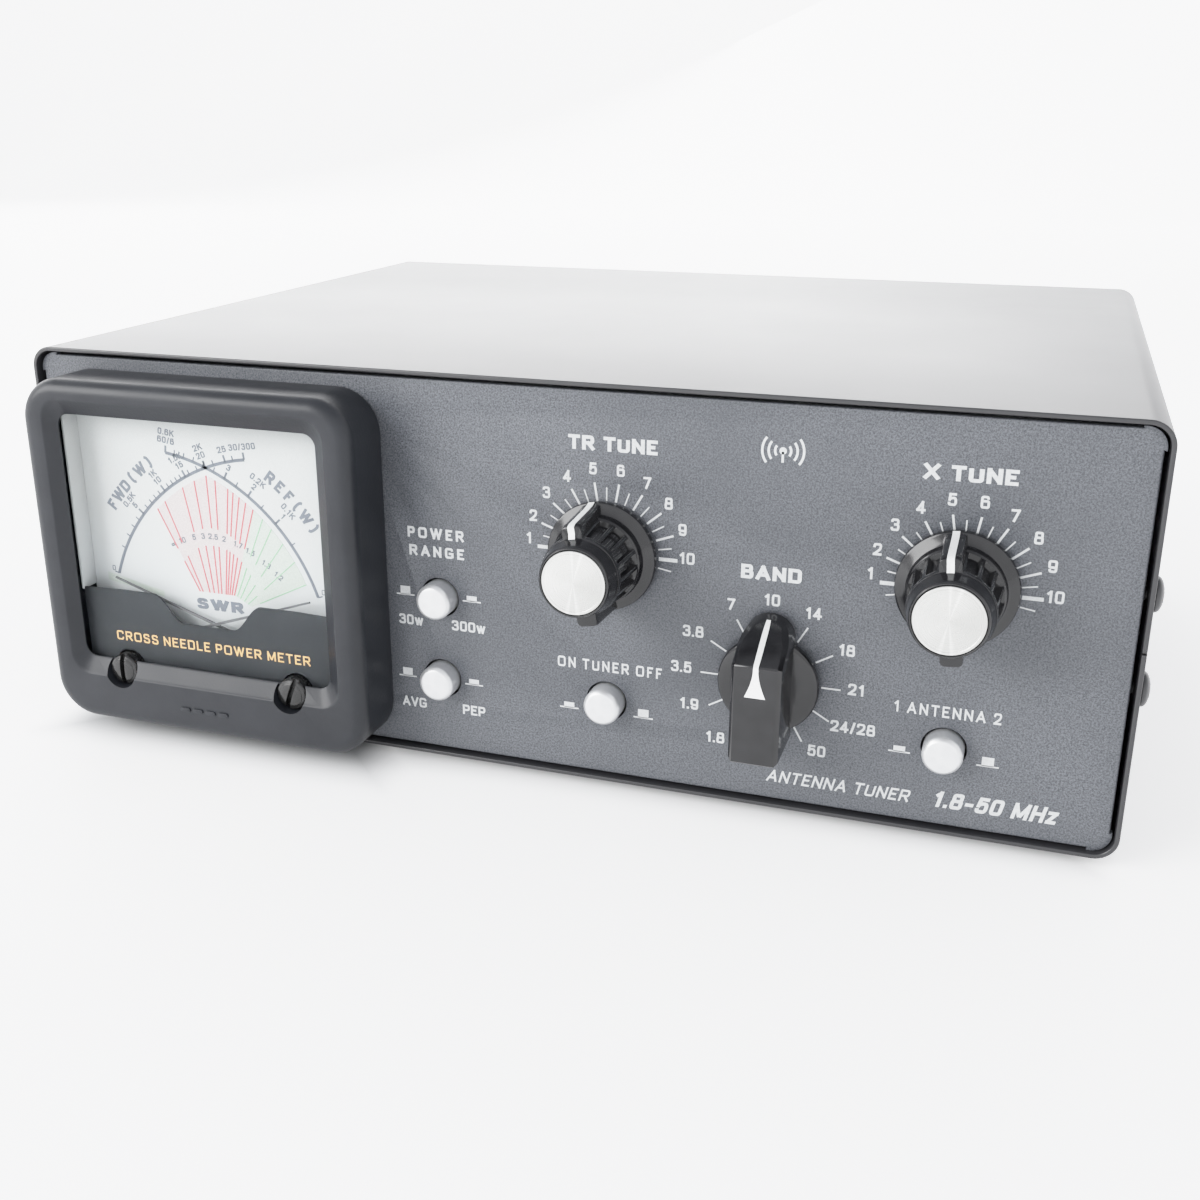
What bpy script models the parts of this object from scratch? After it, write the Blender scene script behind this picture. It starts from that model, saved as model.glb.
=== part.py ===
"""Desktop antenna tuner with a crossed-needle meter, two tuning knobs and a band switch.

Lengths are millimetres measured from the case's front, left, bottom corner (x right, y back,
z up); new_piece() scales every mesh to metres. The world origin is under the middle of the
whole object, at table level.
"""

import math

import bmesh
import bpy
from mathutils import Matrix, Vector

MM = 0.001

# Case
CASE_W = 250.0
CASE_H = 90.0
CASE_D = 193.0
FOOT_H = 2.0
SHEET = 1.0
CORNER_R = 5.0
SEAM_Z = CASE_H / 2
GAP = 0.3

# Front and rear panels
RECESS = 1.5
PANEL_T = 1.5
PANEL_INSET = SHEET + 0.9
FLANGE_D = 11.0
CORNER_TAB = 8.0
FACE = RECESS
PANEL_BACK = RECESS + PANEL_T
REAR_FACE = CASE_D - RECESS
BRACKET_Y = 10.0
BRACKET_T = 1.2
BRACKET_BACK = BRACKET_Y + BRACKET_T

# How far the knobs and the ground stud stand out of the case
KNOB_REACH = 18.5
REAR_REACH = 22.0
FRONT_Y = KNOB_REACH - (KNOB_REACH + CASE_D + REAR_REACH) / 2

# Control positions
TR_X = 141.2
TR_Z = 53.1
X_X = 214.2
X_Z = 54.1
BAND_X = 178.0
BAND_Z = 28.9
ROW_Z = 19.0
RANGE_Z = 38.7
METER_SWITCH_X = 102.5
BUTTONS = {
    "power_range": (METER_SWITCH_X, RANGE_Z),
    "avg_pep": (METER_SWITCH_X, ROW_Z),
    "tuner": (142.0, ROW_Z),
    "antenna": (214.5, ROW_Z),
}
TR_POINTER = 100.0
X_POINTER = 95.0

# Controls
SHAFT_R = 3.0
JOURNAL_R = 3.08
BORE_R = SHAFT_R + GAP
SKIRT_R = 12.0
KNOB_FRONT_R = 7.35
KNOB_BACK = FACE - 0.8
RIDGE_R = 11.3
RIDGE_W = 4.2
RIDGE_FRONT = -14.0
CAP_R = 6.75
BAND_SKIRT_R = 10.7
BUTTON_R = 4.15
BUTTON_FRONT = -3.0
STEM_R = 1.9

# Meter
METER_X = 47.65
METER_Z = 43.75
WINDOW_Z = 47.6
BEZEL_HALF = (42.05, 41.55)
BEZEL_R = 10.0
BEZEL_FRONT = -13.3
BEZEL_FILLET = 3.0
WINDOW_HALF = (32.7, 29.6)
CHAMFER = (3.0, 3.6)
WINDOW_Y = -11.0
COVER_HALF = (35.65, 33.0)
COVER_Y = -10.3
PIVOT_X = 16.7
PIVOT_Z = 22.6
NEEDLE_L = 45.4
NEEDLE_REST = 161.6
ADJUSTER_X = 22.7
ADJUSTER_Z = 15.7
ADJUSTER_R = 3.7

# Inside
PLATE_R = 16.0
PLATE_PITCH = 6.4
PLATE_COUNT = 5
PLATE_T = 0.7
CAPACITOR_L = 44.0
WAFER_R = 15.5
COIL_R = 18.0
COIL_TURNS = 8
COIL_PITCH = 5.6
COIL_CENTRE = (155.0, 112.0, 45.0)

# Rear
SOCKETS = {"rig_socket": 60.0, "antenna_1_socket": 112.0, "antenna_2_socket": 164.0}
SOCKET_Z = 46.0
GROUND = (222.0, 27.0)
JACK = (222.0, 62.0)
STUD_R = 2.5

BLACK_STEEL = ((0.02, 0.02, 0.022), 0.35, 0.0)
PANEL_PAINT = ((0.09, 0.095, 0.105), 0.5, 0.3)
BLACK_PLASTIC = ((0.012, 0.012, 0.013), 0.2, 0.0)
BEZEL_PLASTIC = ((0.05, 0.052, 0.058), 0.55, 0.0)
CLEAR = ((0.85, 0.9, 0.9), 0.05, 0.0)
WHITE = ((0.85, 0.86, 0.86), 0.5, 0.0)
SPUN_METAL = ((0.88, 0.88, 0.86), 0.25, 1.0)
SILVER_PLASTIC = ((0.75, 0.76, 0.76), 0.35, 0.2)
NICKEL = ((0.7, 0.69, 0.66), 0.25, 1.0)
BARE_STEEL = ((0.55, 0.55, 0.56), 0.35, 1.0)
BRASS = ((0.75, 0.58, 0.28), 0.3, 1.0)
COPPER = ((0.8, 0.42, 0.27), 0.3, 1.0)
CERAMIC = ((0.82, 0.79, 0.7), 0.6, 0.0)
RUBBER = ((0.025, 0.025, 0.025), 0.8, 0.0)
BOARD_GREEN = ((0.05, 0.25, 0.12), 0.5, 0.0)
DARK_MASK = ((0.03, 0.033, 0.035), 0.45, 0.0)


# ---------------------------------------------------------------- mesh building

def place(axis, a, b, along):
    """A point of a section (a, b) set across one axis, at a distance along it."""
    if axis == "Y":
        return (a, along, b)
    if axis == "X":
        return (along, a, b)
    return (a, b, along)


def prism(bm, outline, start, end, axis="Y"):
    """Extrude a closed outline along an axis."""
    first = [bm.verts.new(place(axis, a, b, start)) for a, b in outline]
    last = [bm.verts.new(place(axis, a, b, end)) for a, b in outline]
    bm.faces.new(first)
    bm.faces.new(last)
    skin(bm, first, last)


def skin(bm, ring, other):
    """Join two rings of vertices with quads."""
    count = len(ring)
    for i in range(count):
        j = (i + 1) % count
        bm.faces.new((ring[i], ring[j], other[j], other[i]))


def box(bm, low, high):
    """A block between two corners."""
    outline = [(low[0], low[2]), (high[0], low[2]), (high[0], high[2]), (low[0], high[2])]
    prism(bm, outline, low[1], high[1])


def circle(radius, count, a=0.0, b=0.0, turn=0.0):
    """Points round a circle."""
    step = 2 * math.pi / count
    return [
        (a + radius * math.cos(turn + i * step), b + radius * math.sin(turn + i * step))
        for i in range(count)
    ]


def turned(bm, profile, count=24, axis="Y", centre=(0.0, 0.0), closed=False):
    """Turn a profile of (radius, distance along the axis); closed profiles make rings."""
    rings = []
    for radius, along in profile:
        if radius < 1e-6:
            rings.append([bm.verts.new(place(axis, centre[0], centre[1], along))])
            continue
        points = circle(radius, count, *centre)
        rings.append([bm.verts.new(place(axis, a, b, along)) for a, b in points])
    pairs = list(zip(rings, rings[1:]))
    if closed:
        pairs.append((rings[-1], rings[0]))
    for ring, other in pairs:
        if len(ring) == 1:
            ring, other = other, ring
        if len(other) > 1:
            skin(bm, ring, other)
            continue
        for i in range(count):
            bm.faces.new((ring[i], ring[(i + 1) % count], other[0]))


def rod(bm, radius, start, end, centre=(0.0, 0.0), count=16, axis="Y"):
    """A plain cylinder along an axis."""
    prism(bm, circle(radius, count, *centre), start, end, axis)


def rounded_rect(centre, half, radius, steps=4):
    """Points round a rectangle with rounded corners."""
    points = []
    for quarter in range(4):
        angle = quarter * math.pi / 2
        sign_a = 1 if quarter in (0, 3) else -1
        sign_b = 1 if quarter in (0, 1) else -1
        a = centre[0] + sign_a * (half[0] - radius)
        b = centre[1] + sign_b * (half[1] - radius)
        for i in range(steps + 1):
            t = angle + i / steps * math.pi / 2
            points.append((a + radius * math.cos(t), b + radius * math.sin(t)))
    return points


def loft(bm, loops, closed=False):
    """Join loops given as (outline, y); open lofts get flat end caps."""
    rings = [[bm.verts.new((a, y, b)) for a, b in outline] for outline, y in loops]
    for ring, other in zip(rings, rings[1:]):
        skin(bm, ring, other)
    if closed:
        skin(bm, rings[-1], rings[0])
    else:
        bm.faces.new(rings[0])
        bm.faces.new(rings[-1])


# ---------------------------------------------------------------- objects

def to_world(x, y, z):
    """A point of the case, in world metres."""
    return Vector((x - CASE_W / 2, y + FRONT_Y, z + FOOT_H)) * MM


def material(name, finish):
    colour, roughness, metallic = finish
    mat = bpy.data.materials.new(name)
    mat.use_nodes = True
    shader = mat.node_tree.nodes["Principled BSDF"]
    shader.inputs["Base Color"].default_value = (*colour, 1.0)
    shader.inputs["Roughness"].default_value = roughness
    shader.inputs["Metallic"].default_value = metallic
    return mat


def new_object(name, bm, origin, parent=None):
    """Turn a bmesh in millimetres into an object in metres, at a point of the case."""
    bmesh.ops.recalc_face_normals(bm, faces=bm.faces)
    bm.transform(Matrix.Scale(MM, 4))
    mesh = bpy.data.meshes.new(name)
    bm.to_mesh(mesh)
    bm.free()
    obj = bpy.data.objects.new(name, mesh)
    bpy.context.collection.objects.link(obj)
    obj.location = to_world(*origin)
    if parent:
        obj.location -= parent.location
        obj.parent = parent
    return obj


def new_piece(name, bm, finish, origin=(0.0, 0.0, 0.0), parent=None):
    obj = new_object(name, bm, origin, parent)
    obj.data.materials.append(material(name, finish))
    obj.data.shade_smooth()
    obj.data.set_sharp_from_angle(angle=math.radians(35))
    return obj


def helper(name, bm, origin=(0.0, 0.0, 0.0), parent=None):
    """A shape that only cuts or joins another one."""
    obj = new_object(name, bm, origin, parent)
    obj.hide_render = True
    obj.display_type = "WIRE"
    return obj


def combine(obj, other, operation):
    mod = obj.modifiers.new(operation.title() + " " + other.name, "BOOLEAN")
    mod.operation = operation
    mod.object = other


def axis_empty(name, x, z):
    """An empty on a control's axis, at the front rim."""
    empty = bpy.data.objects.new(name, None)
    bpy.context.collection.objects.link(empty)
    empty.location = to_world(x, 0, z)
    empty.empty_display_size = 0.01
    return empty


# ---------------------------------------------------------------- case

SCREW_Y = (8.0, CASE_D - 8.0)
SCREW_Z = (34.8, 54.6)
SCREW_HEAD_R = 3.6
SCREW_HEAD_H = 1.9
SCREW_SHANK_R = 1.4
SCREW_HOLE_R = 1.8


def shell_outline(lip_z):
    """Section of a U-shaped cover, from one lip round the closed side to the other."""
    outer, inner = [], []
    steps = 5
    for side in (0, 1):
        centre_x = (CASE_W - CORNER_R, CORNER_R)[side]
        start = (0.0, math.pi / 2)[side]
        for i in range(steps + 1):
            t = start + i / steps * math.pi / 2
            for radius, line in ((CORNER_R, outer), (CORNER_R - SHEET, inner)):
                x = centre_x + radius * math.cos(t)
                z = CASE_H - CORNER_R + radius * math.sin(t)
                line.append((x, z))
    outer = [(CASE_W, lip_z)] + outer + [(0.0, lip_z)]
    inner = [(CASE_W - SHEET, lip_z)] + inner + [(SHEET, lip_z)]
    return outer + inner[::-1]


def screw_hole_cutter():
    bm = bmesh.new()
    for y in SCREW_Y:
        for z in SCREW_Z:
            for start, end in ((-1.0, 6.0), (CASE_W - 6.0, CASE_W + 1.0)):
                rod(bm, SCREW_HOLE_R, start, end, (y, z), 12, "X")
    return helper("screw_hole_cutter", bm)


def make_covers(holes):
    lip = SEAM_Z + GAP / 2
    upper = shell_outline(lip)
    lower = [(x, CASE_H - z) for x, z in upper]
    for name, outline in (("top_cover", upper), ("bottom_cover", lower)):
        bm = bmesh.new()
        prism(bm, outline, 0.0, CASE_D)
        combine(new_piece(name, bm, BLACK_STEEL), holes, "DIFFERENCE")


def make_panel_tray(name, face, inward):
    """A flat panel with rounded corner tabs and four flanges; inward is +1 or -1 along Y."""
    half = (CASE_W / 2 - PANEL_INSET, CASE_H / 2 - PANEL_INSET)
    centre = (CASE_W / 2, CASE_H / 2)
    back = face + inward * PANEL_T
    bm = bmesh.new()
    prism(bm, rounded_rect(centre, half, 4.5, 3), face, back)
    panel = new_piece(name, bm, PANEL_PAINT)
    bm = bmesh.new()
    near, far = sorted((face + inward * 0.2, back + inward * FLANGE_D))
    low_x, high_x = centre[0] - half[0], centre[0] + half[0]
    low_z, high_z = centre[1] - half[1], centre[1] + half[1]
    for x in (low_x, high_x - PANEL_T):
        box(bm, (x, near, low_z + CORNER_TAB), (x + PANEL_T, far, high_z - CORNER_TAB))
    for z in (low_z, high_z - PANEL_T):
        box(bm, (low_x + CORNER_TAB, near, z), (high_x - CORNER_TAB, far, z + PANEL_T))
    combine(panel, helper(name + "_flanges", bm), "UNION")
    return panel


def make_front_panel(holes):
    panel = make_panel_tray("front_panel", FACE, 1)
    combine(panel, holes, "DIFFERENCE")
    bm = bmesh.new()
    low, high = FACE - 1.0, PANEL_BACK + 1.0
    for x, z in ((TR_X, TR_Z), (X_X, X_Z), (BAND_X, BAND_Z)):
        rod(bm, 4.6, low, high, (x, z), 14)
    for x, z in BUTTONS.values():
        rod(bm, BUTTON_R + 0.5, low, high, (x, z), 18)
    opening = (COVER_HALF[0] + 1.0, COVER_HALF[1] + 1.0)
    prism(bm, rounded_rect((METER_X, WINDOW_Z), opening, 3.0, 2), low, high)
    combine(panel, helper("front_panel_cutter", bm), "DIFFERENCE")


def make_rear_panel(holes):
    panel = make_panel_tray("rear_panel", REAR_FACE, -1)
    combine(panel, holes, "DIFFERENCE")
    bm = bmesh.new()
    low, high = REAR_FACE - PANEL_T - 1.0, REAR_FACE + 1.0
    for x in SOCKETS.values():
        rod(bm, 8.1, low, high, (x, SOCKET_Z), 16)
    rod(bm, STUD_R + 0.4, low, high, GROUND, 12)
    rod(bm, 4.5, low, high, JACK, 16)
    combine(panel, helper("rear_panel_cutter", bm), "DIFFERENCE")


def make_cover_screws():
    """Domed screws through each side of both covers into the panel flanges."""
    profile = [(0.0, -7.0), (SCREW_SHANK_R, -7.0), (SCREW_SHANK_R, GAP), (SCREW_HEAD_R, GAP)]
    for i in range(1, 3):
        t = i / 3 * math.pi / 2
        profile.append((SCREW_HEAD_R * math.cos(t), GAP + SCREW_HEAD_H * math.sin(t)))
    profile.append((0.0, GAP + SCREW_HEAD_H))
    for side, x, sign in (("left", 0.0, -1), ("right", CASE_W, 1)):
        for end, y in zip(("front", "rear"), SCREW_Y):
            for level, z in zip(("lower", "upper"), SCREW_Z):
                bm = bmesh.new()
                points = [(radius, sign * along) for radius, along in profile]
                turned(bm, points, 12, "X")
                new_piece(f"cover_screw_{side}_{end}_{level}", bm, BLACK_STEEL, (x, y, z))


def make_feet():
    for side, x in (("left", 22.0), ("right", CASE_W - 22.0)):
        for end, y in (("front", 24.0), ("rear", CASE_D - 24.0)):
            bm = bmesh.new()
            top = -GAP
            profile = [(0.0, -FOOT_H), (6.6, -FOOT_H), (7.0, -FOOT_H + 0.4), (7.5, top), (0.0, top)]
            turned(bm, profile, 20, "Z")
            new_piece(f"foot_{end}_{side}", bm, RUBBER, (x, y, 0.0))


def make_bracket():
    """Inner plate that carries the tuning capacitors, the band switch and the push switches."""
    edge = PANEL_INSET + PANEL_T + 0.5
    bm = bmesh.new()
    box(bm, (92.0, BRACKET_Y, edge), (CASE_W - edge, BRACKET_BACK, CASE_H - edge))
    bracket = new_piece("control_bracket", bm, BARE_STEEL)
    bm = bmesh.new()
    low, high = BRACKET_Y - 1.0, BRACKET_BACK + 1.0
    for x, z in ((TR_X, TR_Z), (X_X, X_Z), (BAND_X, BAND_Z)):
        rod(bm, 4.6, low, high, (x, z), 12)
    for x, z in BUTTONS.values():
        rod(bm, STEM_R + 0.7, low, high, (x, z), 8)
    combine(bracket, helper("bracket_cutter", bm), "DIFFERENCE")


# ---------------------------------------------------------------- meter

def adjuster_cutter():
    bm = bmesh.new()
    for side in (-1, 1):
        centre = (METER_X + side * ADJUSTER_X, ADJUSTER_Z)
        rod(bm, ADJUSTER_R + 0.4, BEZEL_FRONT - 1.0, -2.6, centre, 20)
    return helper("adjuster_cutter", bm)


def make_bezel(cutter):
    """Moulded frame: rounded outside, filleted front edge, sloped ring round the window."""
    outer = (METER_X, METER_Z)
    window = (METER_X, WINDOW_Z)
    loops = [(rounded_rect(outer, BEZEL_HALF, BEZEL_R, 5), FACE - GAP)]
    for i in range(4):
        t = i / 3 * math.pi / 2
        inset = BEZEL_FILLET * (1 - math.cos(t))
        half = (BEZEL_HALF[0] - inset, BEZEL_HALF[1] - inset)
        y = BEZEL_FRONT + BEZEL_FILLET * (1 - math.sin(t))
        loops.append((rounded_rect(outer, half, BEZEL_R - inset, 5), y))
    ring = (WINDOW_HALF[0] + CHAMFER[0], WINDOW_HALF[1] + CHAMFER[1])
    cavity = (COVER_HALF[0] + 0.35, COVER_HALF[1] + 0.35)
    lip_back = COVER_Y - GAP
    loops += [
        (rounded_rect(window, ring, 5.0, 5), BEZEL_FRONT),
        (rounded_rect(window, WINDOW_HALF, 3.0, 5), WINDOW_Y),
        (rounded_rect(window, WINDOW_HALF, 3.0, 5), lip_back),
        (rounded_rect(window, cavity, 4.0, 5), lip_back),
        (rounded_rect(window, cavity, 4.0, 5), FACE - GAP),
    ]
    bm = bmesh.new()
    loft(bm, loops, closed=True)
    combine(new_piece("meter_bezel", bm, BEZEL_PLASTIC), cutter, "DIFFERENCE")


def tray(bm, centre, half, wall, mouth, floor_inner, floor_outer):
    """A rounded box, open at its mouth, with the given wall and floor."""
    inner = (half[0] - wall, half[1] - wall)
    loops = [
        (rounded_rect(centre, half, 3.5, 3), mouth),
        (rounded_rect(centre, half, 3.5, 3), floor_outer),
    ]
    bm_outer = [[bm.verts.new((a, y, b)) for a, b in outline] for outline, y in loops]
    loops = [
        (rounded_rect(centre, inner, 2.3, 3), mouth),
        (rounded_rect(centre, inner, 2.3, 3), floor_inner),
    ]
    bm_inner = [[bm.verts.new((a, y, b)) for a, b in outline] for outline, y in loops]
    skin(bm, bm_outer[0], bm_outer[1])
    skin(bm, bm_inner[0], bm_inner[1])
    skin(bm, bm_outer[0], bm_inner[0])
    bm.faces.new(bm_outer[1])
    bm.faces.new(bm_inner[1])


def make_meter_case(cutter):
    """Clear front cover and the black box behind the panel."""
    centre = (METER_X, WINDOW_Z)
    bm = bmesh.new()
    tray(bm, centre, COVER_HALF, 1.2, 0.9, COVER_Y + 1.4, COVER_Y)
    combine(new_piece("meter_window", bm, CLEAR), cutter, "DIFFERENCE")
    bm = bmesh.new()
    tray(bm, centre, COVER_HALF, 1.4, 0.9 + GAP, 30.6, 32.0)
    housing = new_piece("meter_housing", bm, BLACK_PLASTIC)
    bm = bmesh.new()
    rod(bm, 3.0, 29.0, 33.0, centre, 12)
    combine(housing, helper("meter_lead_hole", bm), "DIFFERENCE")


def make_meter_mask(cutter):
    """Dark plate over the foot of the dial, dipping in the middle where the needles cross."""
    left, right = METER_X - 33.8, METER_X + 33.8
    top, dip = 34.9, 28.9
    outline = [(left, 16.6), (right, 16.6), (right, top)]
    steps = 6
    for side in (1, -1):
        for i in range(steps + 1):
            share = i / steps if side == 1 else 1 - i / steps
            rise = (1 + math.cos(math.pi * share)) / 2
            outline.append((METER_X + side * (14.5 - 8.0 * share), dip + (top - dip) * rise))
    outline.append((left, top))
    bm = bmesh.new()
    prism(bm, outline, -8.6, -8.2)
    combine(new_piece("meter_mask", bm, DARK_MASK), cutter, "DIFFERENCE")


def make_meter_dial():
    bm = bmesh.new()
    prism(bm, rounded_rect((METER_X, 51.5), (34.0, 27.5), 3.0, 3), -3.9, -3.3)
    new_piece("meter_dial", bm, WHITE)


def make_movements():
    """A moving-coil movement and its needle on each side; the needles cross."""
    for name, side, plane in (("forward", 1, -5.8), ("reflected", -1, -6.6)):
        x = METER_X + side * PIVOT_X
        bm = bmesh.new()
        profile = [(0.0, -2.4), (3.0, -2.4), (3.0, -1.6), (6.5, -1.6), (6.5, 16.0), (0.0, 16.0)]
        turned(bm, profile, 20)
        new_piece(f"{name}_movement", bm, BARE_STEEL, (x, 0.0, PIVOT_Z))
        pivot = axis_empty(f"{name}_needle_pivot", x, PIVOT_Z)
        bm = bmesh.new()
        profile = [(0.0, -7.1), (1.6, -7.1), (1.6, -4.4), (0.6, -4.4), (0.6, -2.7), (0.0, -2.7)]
        turned(bm, profile, 12)
        needle = new_piece(f"{name}_needle", bm, DARK_MASK, (x, 0.0, PIVOT_Z), pivot)
        bm = bmesh.new()
        outline = [(-5.6, -0.7), (-1.0, -0.4), (NEEDLE_L, -0.2)]
        outline += [(a, -b) for a, b in outline[::-1]]
        prism(bm, outline, plane - 0.4, plane)
        rest = math.radians(NEEDLE_REST if side == 1 else 180 - NEEDLE_REST)
        bm.transform(Matrix.Rotation(-rest, 4, "Y"))
        combine(needle, helper(f"{name}_pointer", bm, (x, 0.0, PIVOT_Z), pivot), "UNION")


def make_adjusters():
    for name, side in (("left", -1), ("right", 1)):
        x = METER_X + side * ADJUSTER_X
        pivot = axis_empty(f"zero_adjuster_{name}_axis", x, ADJUSTER_Z)
        bm = bmesh.new()
        profile = [
            (0.0, -12.2), (2.9, -12.2), (ADJUSTER_R, -11.6), (ADJUSTER_R, -8.2), (1.5, -8.2),
            (1.5, -3.0), (0.0, -3.0),
        ]
        turned(bm, profile, 20)
        adjuster = new_piece(
            f"zero_adjuster_{name}", bm, BLACK_PLASTIC, (x, 0.0, ADJUSTER_Z), pivot
        )
        bm = bmesh.new()
        box(bm, (-0.6, -13.0, -5.0), (0.6, -10.7, 5.0))
        slot = helper(f"zero_adjuster_{name}_slot", bm, (x, 0.0, ADJUSTER_Z), pivot)
        combine(adjuster, slot, "DIFFERENCE")


# ---------------------------------------------------------------- controls

def make_tuning_knob(name, x, z, pointer, pivot):
    """Skirted knob with two ridges and a recess for the metal cap."""
    bm = bmesh.new()
    profile = [
        (BORE_R, KNOB_BACK), (SKIRT_R, KNOB_BACK), (SKIRT_R, -0.9), (9.6, -2.2), (9.3, -3.2),
        (8.2, RIDGE_FRONT), (7.7, -15.0), (KNOB_FRONT_R, -17.8), (7.15, -18.3),
        (CAP_R + 0.15, -18.3), (CAP_R + 0.15, -17.5), (0.0, -17.5),
    ]
    profile += [(0.0, -10.0), (BORE_R, -10.0)]
    knob_profile = [point for point in profile if point != (0.0, -17.5)]
    turned_cup(bm, knob_profile, 28)
    knob = new_piece(f"{name}_knob", bm, BLACK_PLASTIC, (x, 0.0, z), pivot)
    bm = bmesh.new()
    for turn in (0, 180):
        half = RIDGE_W / 2
        outline = [(5.0, -half), (RIDGE_R - 0.4, -half), (RIDGE_R, -half + 0.6),
                   (RIDGE_R, half - 0.6), (RIDGE_R - 0.4, half), (5.0, half)]
        part = bmesh.new()
        prism(part, outline, RIDGE_FRONT, -1.4)
        part.transform(Matrix.Rotation(math.radians(-pointer + turn), 4, "Y"))
        append(bm, part)
    combine(knob, helper(f"{name}_ridges", bm, (x, 0.0, z), pivot), "UNION")
    bm = bmesh.new()
    front = -KNOB_REACH
    turned(bm, [(0.0, -17.8), (CAP_R, -17.8), (CAP_R, front + 0.1), (CAP_R - 0.1, front), (0.0, front)], 28)
    new_piece(f"{name}_knob_cap", bm, SPUN_METAL, (x, 0.0, z), pivot)


def turned_cup(bm, profile, count):
    """Turn a profile that meets the axis at its recess floor and at its bore's end."""
    end = next(i for i, point in enumerate(profile) if point[0] == 0.0)
    outside = profile[:end] + [(0.0, profile[end - 1][1])]
    bore = profile[end:]
    turned(bm, [bore[0], bore[1]] + outside, count)


def append(bm, part):
    """Add a finished bmesh to another."""
    mesh = bpy.data.meshes.new("append")
    part.to_mesh(mesh)
    part.free()
    bm.from_mesh(mesh)
    bpy.data.meshes.remove(mesh)


def make_tuning_capacitor(name, x, z, pointer, pivot):
    """Air-spaced variable capacitor: frame, fixed plates and the rotor on the knob's shaft."""
    front = BRACKET_BACK + GAP
    rear = front + CAPACITOR_L
    reach = 18.0
    base = -22.0
    bm = bmesh.new()
    box(bm, (-reach, front, base), (reach, front + 1.5, reach))
    frame = new_piece(f"{name}_capacitor_frame", bm, BARE_STEEL, (x, 0.0, z))
    bm = bmesh.new()
    box(bm, (-reach, rear - 1.5, base), (reach, rear, reach))
    combine(frame, helper(f"{name}_frame_back", bm, (x, 0.0, z)), "UNION")
    bm = bmesh.new()
    box(bm, (-reach, front + 0.5, base), (reach, rear - 0.5, base + 1.5))
    combine(frame, helper(f"{name}_frame_base", bm, (x, 0.0, z)), "UNION")
    bm = bmesh.new()
    rod(bm, JOURNAL_R, front - 1.0, rear + 1.0, count=16)
    combine(frame, helper(f"{name}_journal", bm, (x, 0.0, z)), "DIFFERENCE")

    first = front + 5.0
    bm = bmesh.new()
    for side in (-1, 1):
        rod(bm, 1.3, front + 1.8, rear - 1.8, (side * 13.5, -17.6), 6)
    stator = new_piece(f"{name}_stator", bm, BARE_STEEL, (x, 0.0, z))
    bm = bmesh.new()
    arc = [(5.0 * math.cos(t), 5.0 * math.sin(t)) for t in arc_angles(0, -180, 4)]
    outline = [(-16.5, -1.5), (-5.0, -1.5)] + arc[::-1][1:-1] + [(5.0, -1.5), (16.5, -1.5)]
    outline += [(16.5, -18.6), (-16.5, -18.6)]
    for i in range(PLATE_COUNT + 1):
        start = first + i * PLATE_PITCH
        prism(bm, outline, start, start + PLATE_T)
    combine(stator, helper(f"{name}_stator_plates", bm, (x, 0.0, z)), "UNION")

    bm = bmesh.new()
    rod(bm, SHAFT_R, -9.7, rear + 2.0, count=16)
    rotor = new_piece(f"{name}_rotor", bm, BRASS, (x, 0.0, z), pivot)
    bm = bmesh.new()
    outline = [(PLATE_R * math.cos(t), PLATE_R * math.sin(t)) for t in arc_angles(0, 180, 10)]
    outline += [(-2.0, -1.6), (2.0, -1.6)]
    for i in range(PLATE_COUNT):
        start = first + (i + 0.5) * PLATE_PITCH
        part = bmesh.new()
        prism(part, outline, start, start + PLATE_T)
        append(bm, part)
    bm.transform(Matrix.Rotation(math.radians(-pointer + 180), 4, "Y"))
    combine(rotor, helper(f"{name}_rotor_plates", bm, (x, 0.0, z), pivot), "UNION")


def arc_angles(start, end, steps):
    """Evenly spaced angles in radians, both ends included."""
    return [math.radians(start + (end - start) * i / steps) for i in range(steps + 1)]


def make_band_knob(pivot):
    """Bar knob on a round skirt, with a sloped nose that points to the band."""
    origin = (BAND_X, 0.0, BAND_Z)
    skirt_top = -1.4
    bm = bmesh.new()
    turned(bm, [
        (0.0, KNOB_BACK), (BAND_SKIRT_R, KNOB_BACK), (BAND_SKIRT_R, skirt_top + 0.6),
        (BAND_SKIRT_R - 0.8, skirt_top), (0.0, skirt_top),
    ], 28)
    knob = new_piece("band_knob", bm, BLACK_PLASTIC, origin, pivot)
    bm = bmesh.new()
    half = 4.9
    front_half = 3.9
    levels = [
        (half, -12.3, 12.2, 15.7, skirt_top + 0.7),
        (half, -12.1, 11.4, 14.9, -4.0),
        (half, -11.7, 8.8, 10.4, -13.0),
        (front_half, -11.2, 8.2, 9.2, -14.0),
    ]
    loops = []
    for width, tail, shoulder, nose, y in levels:
        tip = width * 0.3
        loops.append(([
            (-width, tail), (width, tail), (width, shoulder), (tip, nose), (-tip, nose),
            (-width, shoulder),
        ], y))
    loft(bm, loops)
    bar = helper("band_knob_bar", bm, origin, pivot)
    combine(knob, bar, "UNION")
    bm = bmesh.new()
    rod(bm, BORE_R, -9.0, 4.0, count=16)
    combine(knob, helper("band_knob_bore", bm, origin, pivot), "DIFFERENCE")


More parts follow.
